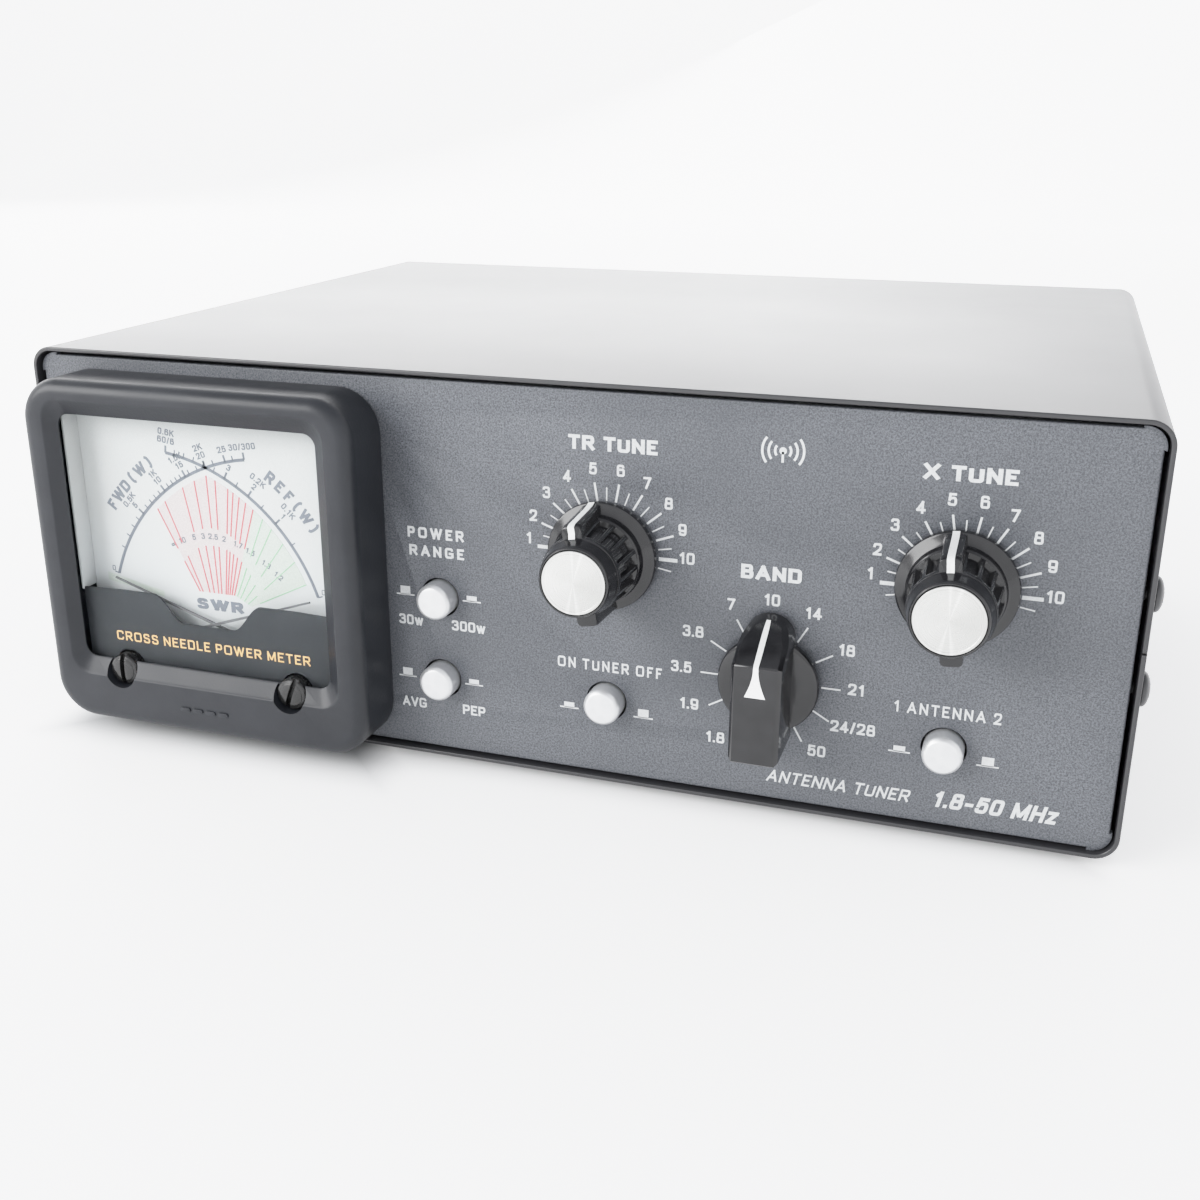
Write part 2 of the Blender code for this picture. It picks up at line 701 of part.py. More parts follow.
def make_band_switch(pivot):
    """Rotary switch: shaft with contact disc, detent housing with tie rods, ceramic wafer."""
    origin = (BAND_X, 0.0, BAND_Z)
    front = BRACKET_BACK + GAP
    bm = bmesh.new()
    turned(bm, [
        (0.0, -8.7), (SHAFT_R, -8.7), (SHAFT_R, 31.0), (5.8, 31.0), (5.8, 33.0), (SHAFT_R, 33.0),
        (SHAFT_R, 48.0), (0.0, 48.0),
    ], 16)
    new_piece("band_switch_shaft", bm, BRASS, origin, pivot)
    bm = bmesh.new()
    turned(bm, [(JOURNAL_R, front), (13.0, front), (14.0, front + 1.0), (14.0, front + 6.0),
                (JOURNAL_R, front + 6.0)], 16, closed=True)
    detent = new_piece("band_switch_detent", bm, BARE_STEEL, origin)
    bm = bmesh.new()
    for side in (-1, 1):
        rod(bm, 1.2, front + 5.0, 44.0, (side * 11.5, 0.0), 8)
    combine(detent, helper("band_switch_rods", bm, origin), "UNION")
    bm = bmesh.new()
    turned(bm, [(6.2, 30.6), (WAFER_R, 30.6), (WAFER_R, 33.4), (6.2, 33.4)], 16, closed=True)
    wafer = new_piece("band_switch_wafer", bm, CERAMIC, origin)
    bm = bmesh.new()
    for side in (-1, 1):
        rod(bm, 1.6, 29.0, 35.0, (side * 11.5, 0.0), 8)
    combine(wafer, helper("wafer_rod_holes", bm, origin), "DIFFERENCE")


def make_push_switches():
    """Four push switches on the bracket and the round buttons that travel in them."""
    front = BRACKET_BACK + GAP
    for name, (x, z) in BUTTONS.items():
        bm = bmesh.new()
        box(bm, (-4.5, front, -4.5), (4.5, front + 20.0, 4.5))
        body = new_piece(f"{name}_switch", bm, BLACK_PLASTIC, (x, 0.0, z))
        bm = bmesh.new()
        rod(bm, STEM_R + GAP, front - 1.0, front + 12.5, count=12)
        combine(body, helper(f"{name}_switch_bore", bm, (x, 0.0, z)), "DIFFERENCE")
        pivot = axis_empty(f"{name}_button_axis", x, z)
        bm = bmesh.new()
        turned(bm, [
            (0.0, BUTTON_FRONT), (BUTTON_R - 0.7, BUTTON_FRONT), (BUTTON_R, BUTTON_FRONT + 0.6),
            (BUTTON_R, 5.0), (STEM_R, 5.0), (STEM_R, 20.0), (0.0, 20.0),
        ], 20)
        new_piece(f"{name}_button", bm, SILVER_PLASTIC, (x, 0.0, z), pivot)


# ---------------------------------------------------------------- inside and rear

def make_board():
    """Power-bridge circuit board on four standoffs, with its ring-core transformer."""
    bm = bmesh.new()
    box(bm, (22.0, 110.0, 9.0), (96.0, 172.0, 10.6))
    board = new_piece("bridge_board", bm, BOARD_GREEN)
    bm = bmesh.new()
    for x in (27.0, 91.0):
        for y in (115.0, 167.0):
            rod(bm, 2.5, SHEET + GAP, 9.5, (x, y), 8, "Z")
    combine(board, helper("board_standoffs", bm), "UNION")


def make_coil():
    """Tapped air coil on a tube that stands on two end plates."""
    cx, cy, cz = COIL_CENTRE
    length = COIL_TURNS * COIL_PITCH + 8.0
    low, high = cx - length / 2, cx + length / 2
    bm = bmesh.new()
    turned(bm, [(14.4, low), (16.0, low), (16.0, high), (14.4, high)], 16, "X", (cy, cz), True)
    former = new_piece("coil_former", bm, CERAMIC)
    bm = bmesh.new()
    for x in (low, high - 2.0):
        box(bm, (x, cy - 12.0, SHEET + GAP), (x + 2.0, cy + 12.0, cz - 14.0))
    combine(former, helper("coil_end_plates", bm), "UNION")

    curve = bpy.data.curves.new("tapped_coil", "CURVE")
    curve.dimensions = "3D"
    curve.bevel_depth = 0.9 * MM
    curve.bevel_resolution = 0
    curve.use_fill_caps = True
    per_turn = 12
    count = COIL_TURNS * per_turn + 1
    spline = curve.splines.new("POLY")
    spline.points.add(count - 1)
    for i in range(count):
        t = 2 * math.pi * i / per_turn
        along = (i / per_turn - COIL_TURNS / 2) * COIL_PITCH
        point = Vector((along, COIL_R * math.cos(t), COIL_R * math.sin(t))) * MM
        spline.points[i].co = (*point, 1.0)
    coil = bpy.data.objects.new("tapped_coil", curve)
    bpy.context.collection.objects.link(coil)
    coil.location = to_world(*COIL_CENTRE)
    curve.materials.append(material("tapped_coil", COPPER))


def make_sockets():
    """Coaxial sockets: square flange, threaded barrel with an open mouth, solder cup behind."""
    face = REAR_FACE + GAP
    for name, x in SOCKETS.items():
        origin = (x, 0.0, SOCKET_Z)
        bm = bmesh.new()
        turned(bm, [
            (0.0, face - 15.0), (1.8, face - 15.0), (1.8, face - 9.0), (7.6, face - 9.0),
            (7.6, face + 1.0), (7.9, face + 1.0), (7.9, face + 14.0), (6.3, face + 14.0),
            (6.3, face + 7.5), (0.0, face + 7.5),
        ], 18)
        socket = new_piece(name, bm, NICKEL, origin)
        bm = bmesh.new()
        prism(bm, rounded_rect((0.0, 0.0), (12.5, 12.5), 2.0, 2), face, face + 2.0)
        combine(socket, helper(f"{name}_flange", bm, origin), "UNION")


def make_jack():
    face = REAR_FACE + GAP
    bm = bmesh.new()
    turned(bm, [
        (0.0, face + 1.5), (1.0, face + 1.5), (1.0, face - 8.0), (3.0, face - 8.0),
        (3.0, face + 2.5), (6.0, face + 2.5), (6.0, face), (4.1, face), (4.1, face - 11.0),
        (0.0, face - 11.0),
    ], 16)
    new_piece("dc_jack", bm, BLACK_PLASTIC, (JACK[0], 0.0, JACK[1]))


def make_ground_terminal():
    """Threaded ground stud with a washer and a wing nut."""
    face = REAR_FACE + GAP
    inner = REAR_FACE - PANEL_T - GAP
    x, z = GROUND
    bm = bmesh.new()
    turned(bm, [
        (0.0, inner - 6.0), (STUD_R, inner - 6.0), (STUD_R, inner - 3.0), (4.8, inner - 3.0),
        (4.8, inner), (STUD_R, inner), (STUD_R, face), (5.2, face), (5.2, face + 2.5),
        (STUD_R, face + 2.5), (STUD_R, CASE_D + REAR_REACH - 0.6),
        (STUD_R - 0.6, CASE_D + REAR_REACH), (0.0, CASE_D + REAR_REACH),
    ], 16)
    new_piece("ground_stud", bm, NICKEL, (x, 0.0, z))
    start = face + 2.8
    pivot = axis_empty("ground_nut_axis", x, z)
    bm = bmesh.new()
    turned(bm, [(2.8, start), (6.0, start), (6.0, start + 1.0), (2.8, start + 1.0)], 16, closed=True)
    new_piece("ground_washer", bm, NICKEL, (x, 0.0, z), pivot)
    start += 1.3
    bm = bmesh.new()
    turned(bm, [(2.62, start), (4.8, start), (4.2, start + 6.0), (2.62, start + 6.0)], 16, closed=True)
    nut = new_piece("ground_wing_nut", bm, NICKEL, (x, 0.0, z), pivot)
    for side in (-1, 1):
        bm = bmesh.new()
        outline = [(3.6, start + 0.4), (9.0, start + 3.0), (12.6, start + 6.5), (12.0, start + 9.5),
                   (9.0, start + 9.0), (3.6, start + 5.6)]
        prism(bm, [(side * a, b) for a, b in outline], -1.0, 1.0, "Z")
        wing = helper(f"wing_{'left' if side < 0 else 'right'}", bm, (x, 0.0, z), pivot)
        combine(nut, wing, "UNION")


def main():
    for obj in list(bpy.data.objects):
        bpy.data.objects.remove(obj, do_unlink=True)
    holes = screw_hole_cutter()
    make_covers(holes)
    make_front_panel(holes)
    make_rear_panel(holes)
    make_cover_screws()
    make_feet()
    make_bracket()

    adjusters = adjuster_cutter()
    make_bezel(adjusters)
    make_meter_case(adjusters)
    make_meter_mask(adjusters)
    make_meter_dial()
    make_movements()
    make_adjusters()

    for name, x, z, pointer in (("tr_tune", TR_X, TR_Z, TR_POINTER), ("x_tune", X_X, X_Z, X_POINTER)):
        pivot = axis_empty(f"{name}_axis", x, z)
        make_tuning_knob(name, x, z, pointer, pivot)
        make_tuning_capacitor(name, x, z, pointer, pivot)
    band_axis = axis_empty("band_axis", BAND_X, BAND_Z)
    make_band_knob(band_axis)
    make_band_switch(band_axis)
    make_push_switches()

    make_board()
    make_coil()
    make_sockets()
    make_jack()
    make_ground_terminal()


main()
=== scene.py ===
"""Looks of a desktop antenna tuner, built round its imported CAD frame.

Lengths are millimetres measured from the case's front, left, bottom corner: x right, y back
and z up. make_piece() scales every mesh to metres.
"""

import math

import bmesh
import bpy
from mathutils import Matrix, Vector


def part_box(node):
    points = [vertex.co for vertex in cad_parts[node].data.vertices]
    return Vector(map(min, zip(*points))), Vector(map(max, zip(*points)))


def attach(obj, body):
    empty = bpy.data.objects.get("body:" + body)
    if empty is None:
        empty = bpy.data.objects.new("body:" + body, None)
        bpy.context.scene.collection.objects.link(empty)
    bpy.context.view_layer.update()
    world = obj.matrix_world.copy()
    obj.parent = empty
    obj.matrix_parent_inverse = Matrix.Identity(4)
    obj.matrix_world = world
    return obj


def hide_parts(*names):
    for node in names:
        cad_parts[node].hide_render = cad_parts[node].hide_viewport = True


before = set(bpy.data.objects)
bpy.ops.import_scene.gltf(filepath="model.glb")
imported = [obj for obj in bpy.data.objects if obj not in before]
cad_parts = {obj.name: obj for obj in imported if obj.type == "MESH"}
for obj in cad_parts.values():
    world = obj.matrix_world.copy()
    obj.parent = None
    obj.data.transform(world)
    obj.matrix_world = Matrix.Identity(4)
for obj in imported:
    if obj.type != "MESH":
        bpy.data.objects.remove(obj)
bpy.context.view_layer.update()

MM = 0.001
CASE_W, CASE_H, CASE_D = 250.0, 90.0, 193.0
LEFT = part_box("top_cover")[0].x
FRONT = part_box("top_cover")[0].y
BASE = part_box("bottom_cover")[0].z
FACE = 1.5
REAR_FACE = CASE_D - 1.5

TR_X, TR_Z, X_X, X_Z = 141.2, 53.1, 214.2, 54.1
SCALES = ((141.8, 53.3), (214.8, 53.3))
BAND_X, BAND_Z = 178.0, 28.9
TR_POINTER, X_POINTER = 100.0, 95.0
BUTTONS = {
    "power_range": (102.5, 38.7),
    "avg_pep": (102.5, 19.0),
    "tuner": (142.0, 19.0),
    "antenna": (214.5, 19.0),
}
METER_X, METER_Z, WINDOW_Z = 47.65, 43.75, 47.6
PIVOT_X, PIVOT_Z = 16.7, 22.6
DIAL_Y = -3.9
ADJUSTER_X, ADJUSTER_Z = 22.7, 15.7


def at(x, y, z):
    """A point of the case, in world metres."""
    return Vector((LEFT + x * MM, FRONT + y * MM, BASE + z * MM))


# ---------------------------------------------------------------- mesh building

def place(axis, a, b, along):
    """A point from two coordinates across an axis and one along it."""
    if axis == "Y":
        return (a, along, b)
    if axis == "X":
        return (along, a, b)
    return (a, b, along)


def skin(bm, ring, other):
    """Faces between two rings of as many vertices."""
    count = len(ring)
    for i in range(count):
        j = (i + 1) % count
        bm.faces.new((ring[i], ring[j], other[j], other[i]))


def skin_all(bm, rings, closed=False):
    """Faces along a row of rings, which is closed into a loop or capped at both ends."""
    for ring, other in zip(rings, rings[1:]):
        skin(bm, ring, other)
    if closed:
        skin(bm, rings[-1], rings[0])
    else:
        bm.faces.new(rings[0])
        bm.faces.new(rings[-1])


def prism(bm, outline, start, end, axis="Y"):
    """A solid of one outline between two places along an axis."""
    first = [bm.verts.new(place(axis, a, b, start)) for a, b in outline]
    last = [bm.verts.new(place(axis, a, b, end)) for a, b in outline]
    bm.faces.new(first)
    bm.faces.new(last)
    skin(bm, first, last)


def box(bm, low, high):
    outline = [(low[0], low[2]), (high[0], low[2]), (high[0], high[2]), (low[0], high[2])]
    prism(bm, outline, low[1], high[1])


def circle(radius, count, a=0.0, b=0.0):
    return [
        (a + radius * math.cos(2 * math.pi * i / count), b + radius * math.sin(2 * math.pi * i / count))
        for i in range(count)
    ]


def turned(bm, profile, count=48, axis="Y", centre=(0.0, 0.0), closed=False):
    """Turn a profile of (radius, distance along the axis)."""
    rings = []
    for radius, along in profile:
        if radius < 1e-6:
            rings.append([bm.verts.new(place(axis, centre[0], centre[1], along))])
            continue
        points = circle(radius, count, *centre)
        rings.append([bm.verts.new(place(axis, a, b, along)) for a, b in points])
    pairs = list(zip(rings, rings[1:]))
    if closed:
        pairs.append((rings[-1], rings[0]))
    for ring, other in pairs:
        if len(ring) == 1:
            ring, other = other, ring
        if len(other) > 1:
            skin(bm, ring, other)
            continue
        for i in range(count):
            bm.faces.new((ring[i], ring[(i + 1) % count], other[0]))


def rounded_rect(centre, half, radius, steps=8):
    points = []
    for quarter in range(4):
        sign_a = 1 if quarter in (0, 3) else -1
        sign_b = 1 if quarter in (0, 1) else -1
        a = centre[0] + sign_a * (half[0] - radius)
        b = centre[1] + sign_b * (half[1] - radius)
        for i in range(steps + 1):
            t = (quarter + i / steps) * math.pi / 2
            points.append((a + radius * math.cos(t), b + radius * math.sin(t)))
    return points


def add_rings(bm, loops):
    """Rings of vertices from loops given as (outline, y)."""
    return [[bm.verts.new((a, y, b)) for a, b in outline] for outline, y in loops]


def loft(bm, loops, closed=False):
    skin_all(bm, add_rings(bm, loops), closed)


def tray(bm, outside, inside):
    """Walls and floor of a tray, from loops that run from the rim to the floor on each side."""
    shells = [add_rings(bm, outside), add_rings(bm, inside)]
    for rings in shells:
        for ring, other in zip(rings, rings[1:]):
            skin(bm, ring, other)
        bm.faces.new(rings[-1])
    skin(bm, shells[0][0], shells[1][0])


def arc(start, end, steps):
    """Angles in radians from start to end degrees, both included."""
    return [math.radians(start + (end - start) * i / steps) for i in range(steps + 1)]


def polar(angle, radius, centre=(0.0, 0.0)):
    return (centre[0] + radius * math.cos(angle), centre[1] + radius * math.sin(angle))


def append(bm, part):
    """Add a finished bmesh to another."""
    mesh = bpy.data.meshes.new("append")
    part.to_mesh(mesh)
    part.free()
    bm.from_mesh(mesh)
    bpy.data.meshes.remove(mesh)


def solid(build, *args, **options):
    """A new bmesh made by one of the functions above."""
    bm = bmesh.new()
    build(bm, *args, **options)
    return bm


def turn_y(degrees):
    """Turn in the front panel's plane, counter-clockwise as seen from the front."""
    return Matrix.Rotation(math.radians(-degrees), 4, "Y")


# ---------------------------------------------------------------- pieces

def add_object(name, data):
    obj = bpy.data.objects.new(name, data)
    bpy.context.collection.objects.link(obj)
    return obj


def add_mesh(name, bm):
    bm.transform(Matrix.Scale(MM, 4))
    mesh = bpy.data.meshes.new(name)
    bm.to_mesh(mesh)
    bm.free()
    return add_object(name, mesh)


def bare_object(name, bm, origin=(0.0, 0.0, 0.0)):
    bmesh.ops.recalc_face_normals(bm, faces=bm.faces)
    obj = add_mesh(name, bm)
    obj.location = at(*origin)
    return obj


def apply_modifiers(obj):
    bpy.context.view_layer.update()
    graph = bpy.context.evaluated_depsgraph_get()
    mesh = bpy.data.meshes.new_from_object(obj.evaluated_get(graph))
    old = obj.data
    obj.modifiers.clear()
    obj.data = mesh
    bpy.data.meshes.remove(old)


def carve(obj, bm, operation="DIFFERENCE", origin=(0.0, 0.0, 0.0)):
    """Cut or join a shape, and leave a plain mesh."""
    tool = bare_object("carving_tool", bm, origin)
    mod = obj.modifiers.new("carve", "BOOLEAN")
    mod.operation = operation
    mod.solver = "EXACT"
    mod.object = tool
    apply_modifiers(obj)
    bpy.data.objects.remove(tool, do_unlink=True)


def set_material(obj, mat):
    obj.data.materials.clear()
    obj.data.materials.append(mat)


def finish_piece(obj, mat, body, replaces=(), slot=None, angle=35.0, bevel=0.0):
    """Ease the edges by bevel, shade smooth up to angle, hang the piece on its body and hide the CAD parts it
    replaces.
    """
    if bevel:
        mod = obj.modifiers.new("edges", "BEVEL")
        mod.width = bevel * MM
        mod.segments = 2
        mod.limit_method = "ANGLE"
        mod.angle_limit = math.radians(40)
        mod.use_clamp_overlap = True
        apply_modifiers(obj)
    set_material(obj, mat)
    obj.data.shade_smooth()
    obj.data.set_sharp_from_angle(angle=math.radians(angle))
    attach(obj, body)
    if replaces:
        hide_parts(*replaces)
    return obj


def cover_node(node, mat):
    """Give a CAD node its finish."""
    set_material(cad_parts[node], mat)


def make_piece(name, bm, mat, body="chassis", origin=(0.0, 0.0, 0.0), **options):
    return finish_piece(bare_object(name, bm, origin), mat, body, **options)


# ---------------------------------------------------------------- lettering

# Thickness of printed ink, and how far it is sunk into the surface under it.
INK, SUNK = 0.05, 0.01

# Letter shapes on a unit square: width to height, then strokes as a kind and its points. "l" is
# straight with square ends, "b" straight with flush ends, "c" a smooth curve and "o" an oval
# given by its lower left corner and its size.
LETTERS = {
    "A": "0.84 l 0,0 0.5,1 l 0.5,1 1,0 b 0.2,0.3 0.8,0.3",
    "B": "0.72 l 0,0 0,1 c 0,1 0.5,1 0.92,1 0.92,0.53 0.5,0.53 0,0.53 c 0,0.53 0.55,0.53 "
         "1,0.53 1,0 0.55,0 0,0",
    "C": "0.78 c 1,0.72 0.93,1 0.5,1 0,1 0,0.5 0,0 0.5,0 0.93,0 1,0.28",
    "D": "0.76 l 0,0 0,1 c 0,1 0.45,1 1,1 1,0.5 1,0 0.45,0 0,0",
    "E": "0.64 l 1,1 0,1 0,0 1,0 b 0,0.52 0.95,0.52",
    "F": "0.6 l 1,1 0,1 0,0 b 0,0.5 0.9,0.5",
    "G": "0.8 c 0.97,0.76 0.88,1 0.5,1 0,1 0,0.5 0,0 0.5,0 0.85,0 1,0.2 l 1,0.12 1,0.45 0.6,0.45",
    "H": "0.74 l 0,0 0,1 l 1,0 1,1 b 0,0.52 1,0.52",
    "I": "0.2 l 0.5,0 0.5,1",
    "K": "0.78 l 0,0 0,1 l 0,0.36 0.92,1 l 0.36,0.62 1,0",
    "L": "0.6 l 0,1 0,0 1,0",
    "M": "0.9 l 0,0 0,1 l 1,0 1,1 b 0,1 0.5,0.05 b 1,1 0.5,0.05",
    "N": "0.76 l 0,0 0,1 l 1,0 1,1 b 0,1 1,0",
    "O": "0.84 o 0,0 1,1",
    "P": "0.7 l 0,0 0,1 c 0,1 0.5,1 1,1 1,0.44 0.5,0.44 0,0.44",
    "R": "0.76 l 0,0 0,1 c 0,1 0.5,1 0.97,1 0.97,0.47 0.5,0.47 0,0.47 l 0.5,0.47 1,0",
    "S": "0.72 c 0.94,0.76 0.88,1 0.5,1 0.03,1 0.03,0.56 0.5,0.52 1,0.46 1,0 0.5,0 0.06,0 0,0.26",
    "T": "0.72 l 0,1 1,1 l 0.5,1 0.5,0",
    "U": "0.74 c 0,1 0,0.4 0,0 0.5,0 1,0 1,0.4 1,1",
    "V": "0.8 l 0,1 0.5,0 l 0.5,0 1,1",
    "W": "1.15 l 0,1 0.26,0 l 0.26,0 0.5,1 l 0.5,1 0.74,0 l 0.74,0 1,1",
    "X": "0.8 l 0,0 1,1 l 0,1 1,0",
    "w": "0.84 l 0,0.72 0.26,0 l 0.26,0 0.5,0.72 l 0.5,0.72 0.74,0 l 0.74,0 1,0.72",
    "z": "0.56 l 0,0.72 1,0.72 l 0,0 1,0 b 1,0.72 0,0",
    "0": "0.68 o 0,0 1,1",
    "1": "0.54 l 0.76,0 0.76,1 b 0.76,1 0.05,0.72",
    "2": "0.68 c 0,0.68 0.03,1 0.5,1 1,1 1,0.6 0.66,0.36 0,0 l 0,0 1,0",
    "3": "0.68 c 0.02,0.76 0.06,1 0.5,1 0.95,1 0.95,0.54 0.5,0.54 0.32,0.54 c 0.32,0.54 "
         "0.5,0.54 1,0.54 1,0 0.5,0 0.04,0 0,0.26",
    "4": "0.7 l 1,0.25 0,0.25 l 0,0.25 0.7,1 l 0.7,1 0.7,0",
    "5": "0.68 l 0.9,1 0.14,1 0.07,0.46 c 0.07,0.46 0.3,0.64 1,0.66 1,0 0.5,0 0.04,0 0,0.25",
    "6": "0.68 c 0.94,0.77 0.85,1 0.5,1 0,1 0,0.5 0,0.3 o 0,0 1,0.6",
    "7": "0.66 l 0,1 1,1 l 1,1 0.34,0",
    "8": "0.68 o 0.06,0.53 0.88,0.47 o 0,0 1,0.53",
    "9": "0.68 c 0.06,0.23 0.15,0 0.5,0 1,0 1,0.5 1,0.7 o 0,0.4 1,0.6",
    "o": "1 o 0,0.3 0.5,0.4 o 0.5,0.3 0.5,0.4",
    ".": "0.02 l 0.5,0 0.5,0.001",
    "/": "0.42 l 0,-0.02 1,1.02",
    "-": "0.5 b -0.3,0.38 1.3,0.38",
    "(": "0.42 c 1,1.15 -0.2,1 -0.2,0 1,-0.15",
    ")": "0.42 c 0,1.15 1.2,1 1.2,0 0,-0.15",
}
BOWL = [(0.5, 1), (0, 1), (0, 0.5), (0, 0), (0.5, 0), (1, 0), (1, 0.5), (1, 1)]


def read_letter(letter):
    """A letter's width and its strokes, as (kind, points)."""
    width, *marks = LETTERS[letter].split()
    strokes = []
    for mark in marks:
        if mark in "lbco":
            strokes.append((mark, []))
        else:
            strokes[-1][1].append(tuple(float(part) for part in mark.split(",")))
    return float(width), strokes


def smooth_path(points, loop):
    """Round a control polygon by cutting its corners three times."""
    for _ in range(3):
        pairs = list(zip(points, points[1:] + points[:1] if loop else points[1:]))
        cut = []
        for (ax, ay), (bx, by) in pairs:
            cut.append((ax * 0.75 + bx * 0.25, ay * 0.75 + by * 0.25))
            cut.append((ax * 0.25 + bx * 0.75, ay * 0.25 + by * 0.75))
        points = cut if loop else [points[0]] + cut[1:-1] + [points[-1]]
    return points


def stroke_outline(points, width, loop, square):
    """Left and right edges of a stroke along a path."""
    count = len(points)
    left, right = [], []
    for i, (x, z) in enumerate(points):
        before = points[i - 1] if loop or i else points[0]
        after = points[(i + 1) % count] if loop or i < count - 1 else points[-1]
        normals = []
        for (ax, az), (bx, bz) in ((before, (x, z)), ((x, z), after)):
            size = math.hypot(bx - ax, bz - az)
            if size > 1e-9:
                normals.append((-(bz - az) / size, (bx - ax) / size))
        nx = sum(n[0] for n in normals) / len(normals)
        nz = sum(n[1] for n in normals) / len(normals)
        scale = width / 2 / max(nx * nx + nz * nz, 0.4)
        shift = (0.0, 0.0)
        if square and not loop and i in (0, count - 1):
            sign = -1 if i == 0 else 1
            shift = (sign * nz * width / 2, -sign * nx * width / 2)
        left.append((x + nx * scale + shift[0], z + nz * scale + shift[1]))
        right.append((x - nx * scale + shift[0], z - nz * scale + shift[1]))
    return left, right


def add_print(bm, left, right, loop, place_point, y, lift):
    """A thin solid between two edges, its ends closed unless it is a loop."""
    rings = []
    for a, b in zip(left, right):
        ring = []
        for point, depth in ((a, y - lift), (b, y - lift), (b, y + SUNK), (a, y + SUNK)):
            x, z = place_point(point)
            ring.append(bm.verts.new((x, depth, z)))
        rings.append(ring)
    skin_all(bm, rings, loop)


def add_text(bm, text, centre, height, width=None, y=FACE, bold=0.2, slant=0.0, turn=0.0,
             lift=INK, gap=None):
    """Letters of a given height, centred; bold is the stroke's width to height."""
    stroke = height * bold
    tall = height - stroke
    gap = height * 0.12 if gap is None else gap
    cursor, letters = 0.0, []
    for letter in text:
        if letter == " ":
            cursor += height * 0.42
            continue
        share, strokes = read_letter(letter)
        wide = max(share * height - stroke, 0.0)
        letters.append((strokes, cursor, wide))
        cursor += wide + stroke + gap
    total = cursor - gap
    squeeze = width / total if width else 1.0
    angle = math.radians(turn)

    def place_point(point):
        a = (point[0] - total / 2) * squeeze + (point[1] - height / 2) * slant
        b = point[1] - height / 2
        return (centre[0] + a * math.cos(angle) - b * math.sin(angle),
                centre[1] + a * math.sin(angle) + b * math.cos(angle))

    for strokes, start, wide in letters:
        for layer, (kind, points) in enumerate(strokes):
            loop = kind == "o"
            if loop:
                (left, foot), (size_x, size_z) = points
                points = [(left + px * size_x, foot + pz * size_z) for px, pz in BOWL]
            if kind in "co":
                points = smooth_path(points, loop)
            path = [(start + stroke / 2 + px * wide, stroke / 2 + pz * tall) for px, pz in points]
            left, right = stroke_outline(path, stroke, loop, kind == "l")
            add_print(bm, left, right, loop, place_point, y, lift + 0.008 * layer)


def add_stroke(bm, start, end, width, y=FACE, lift=INK):
    """A thin printed line between two points of the panel."""
    (ax, az), (bx, bz) = start, end
    length = math.hypot(bx - ax, bz - az)
    nx, nz = -(bz - az) / length * width / 2, (bx - ax) / length * width / 2
    outline = [(ax + nx, az + nz), (bx + nx, bz + nz), (bx - nx, bz - nz), (ax - nx, az - nz)]
    prism(bm, outline, y - lift, y + SUNK)


def add_arc(bm, centre, radius, start, end, width, y, steps=40):
    """A thin printed arc."""
    angles = arc(start, end, steps)
    outline = [polar(t, radius + width / 2, centre) for t in angles]
    outline += [polar(t, radius - width / 2, centre) for t in angles[::-1]]
    first, last = add_rings(bm, [(outline, y - INK), (outline, y + SUNK)])
    count = len(outline)
    skin(bm, first, last)
    for i in range(steps):
        j = count - 1 - i
        bm.faces.new((first[i], first[i + 1], first[j - 1], first[j]))
        bm.faces.new((last[i], last[i + 1], last[j - 1], last[j]))


# ---------------------------------------------------------------- materials

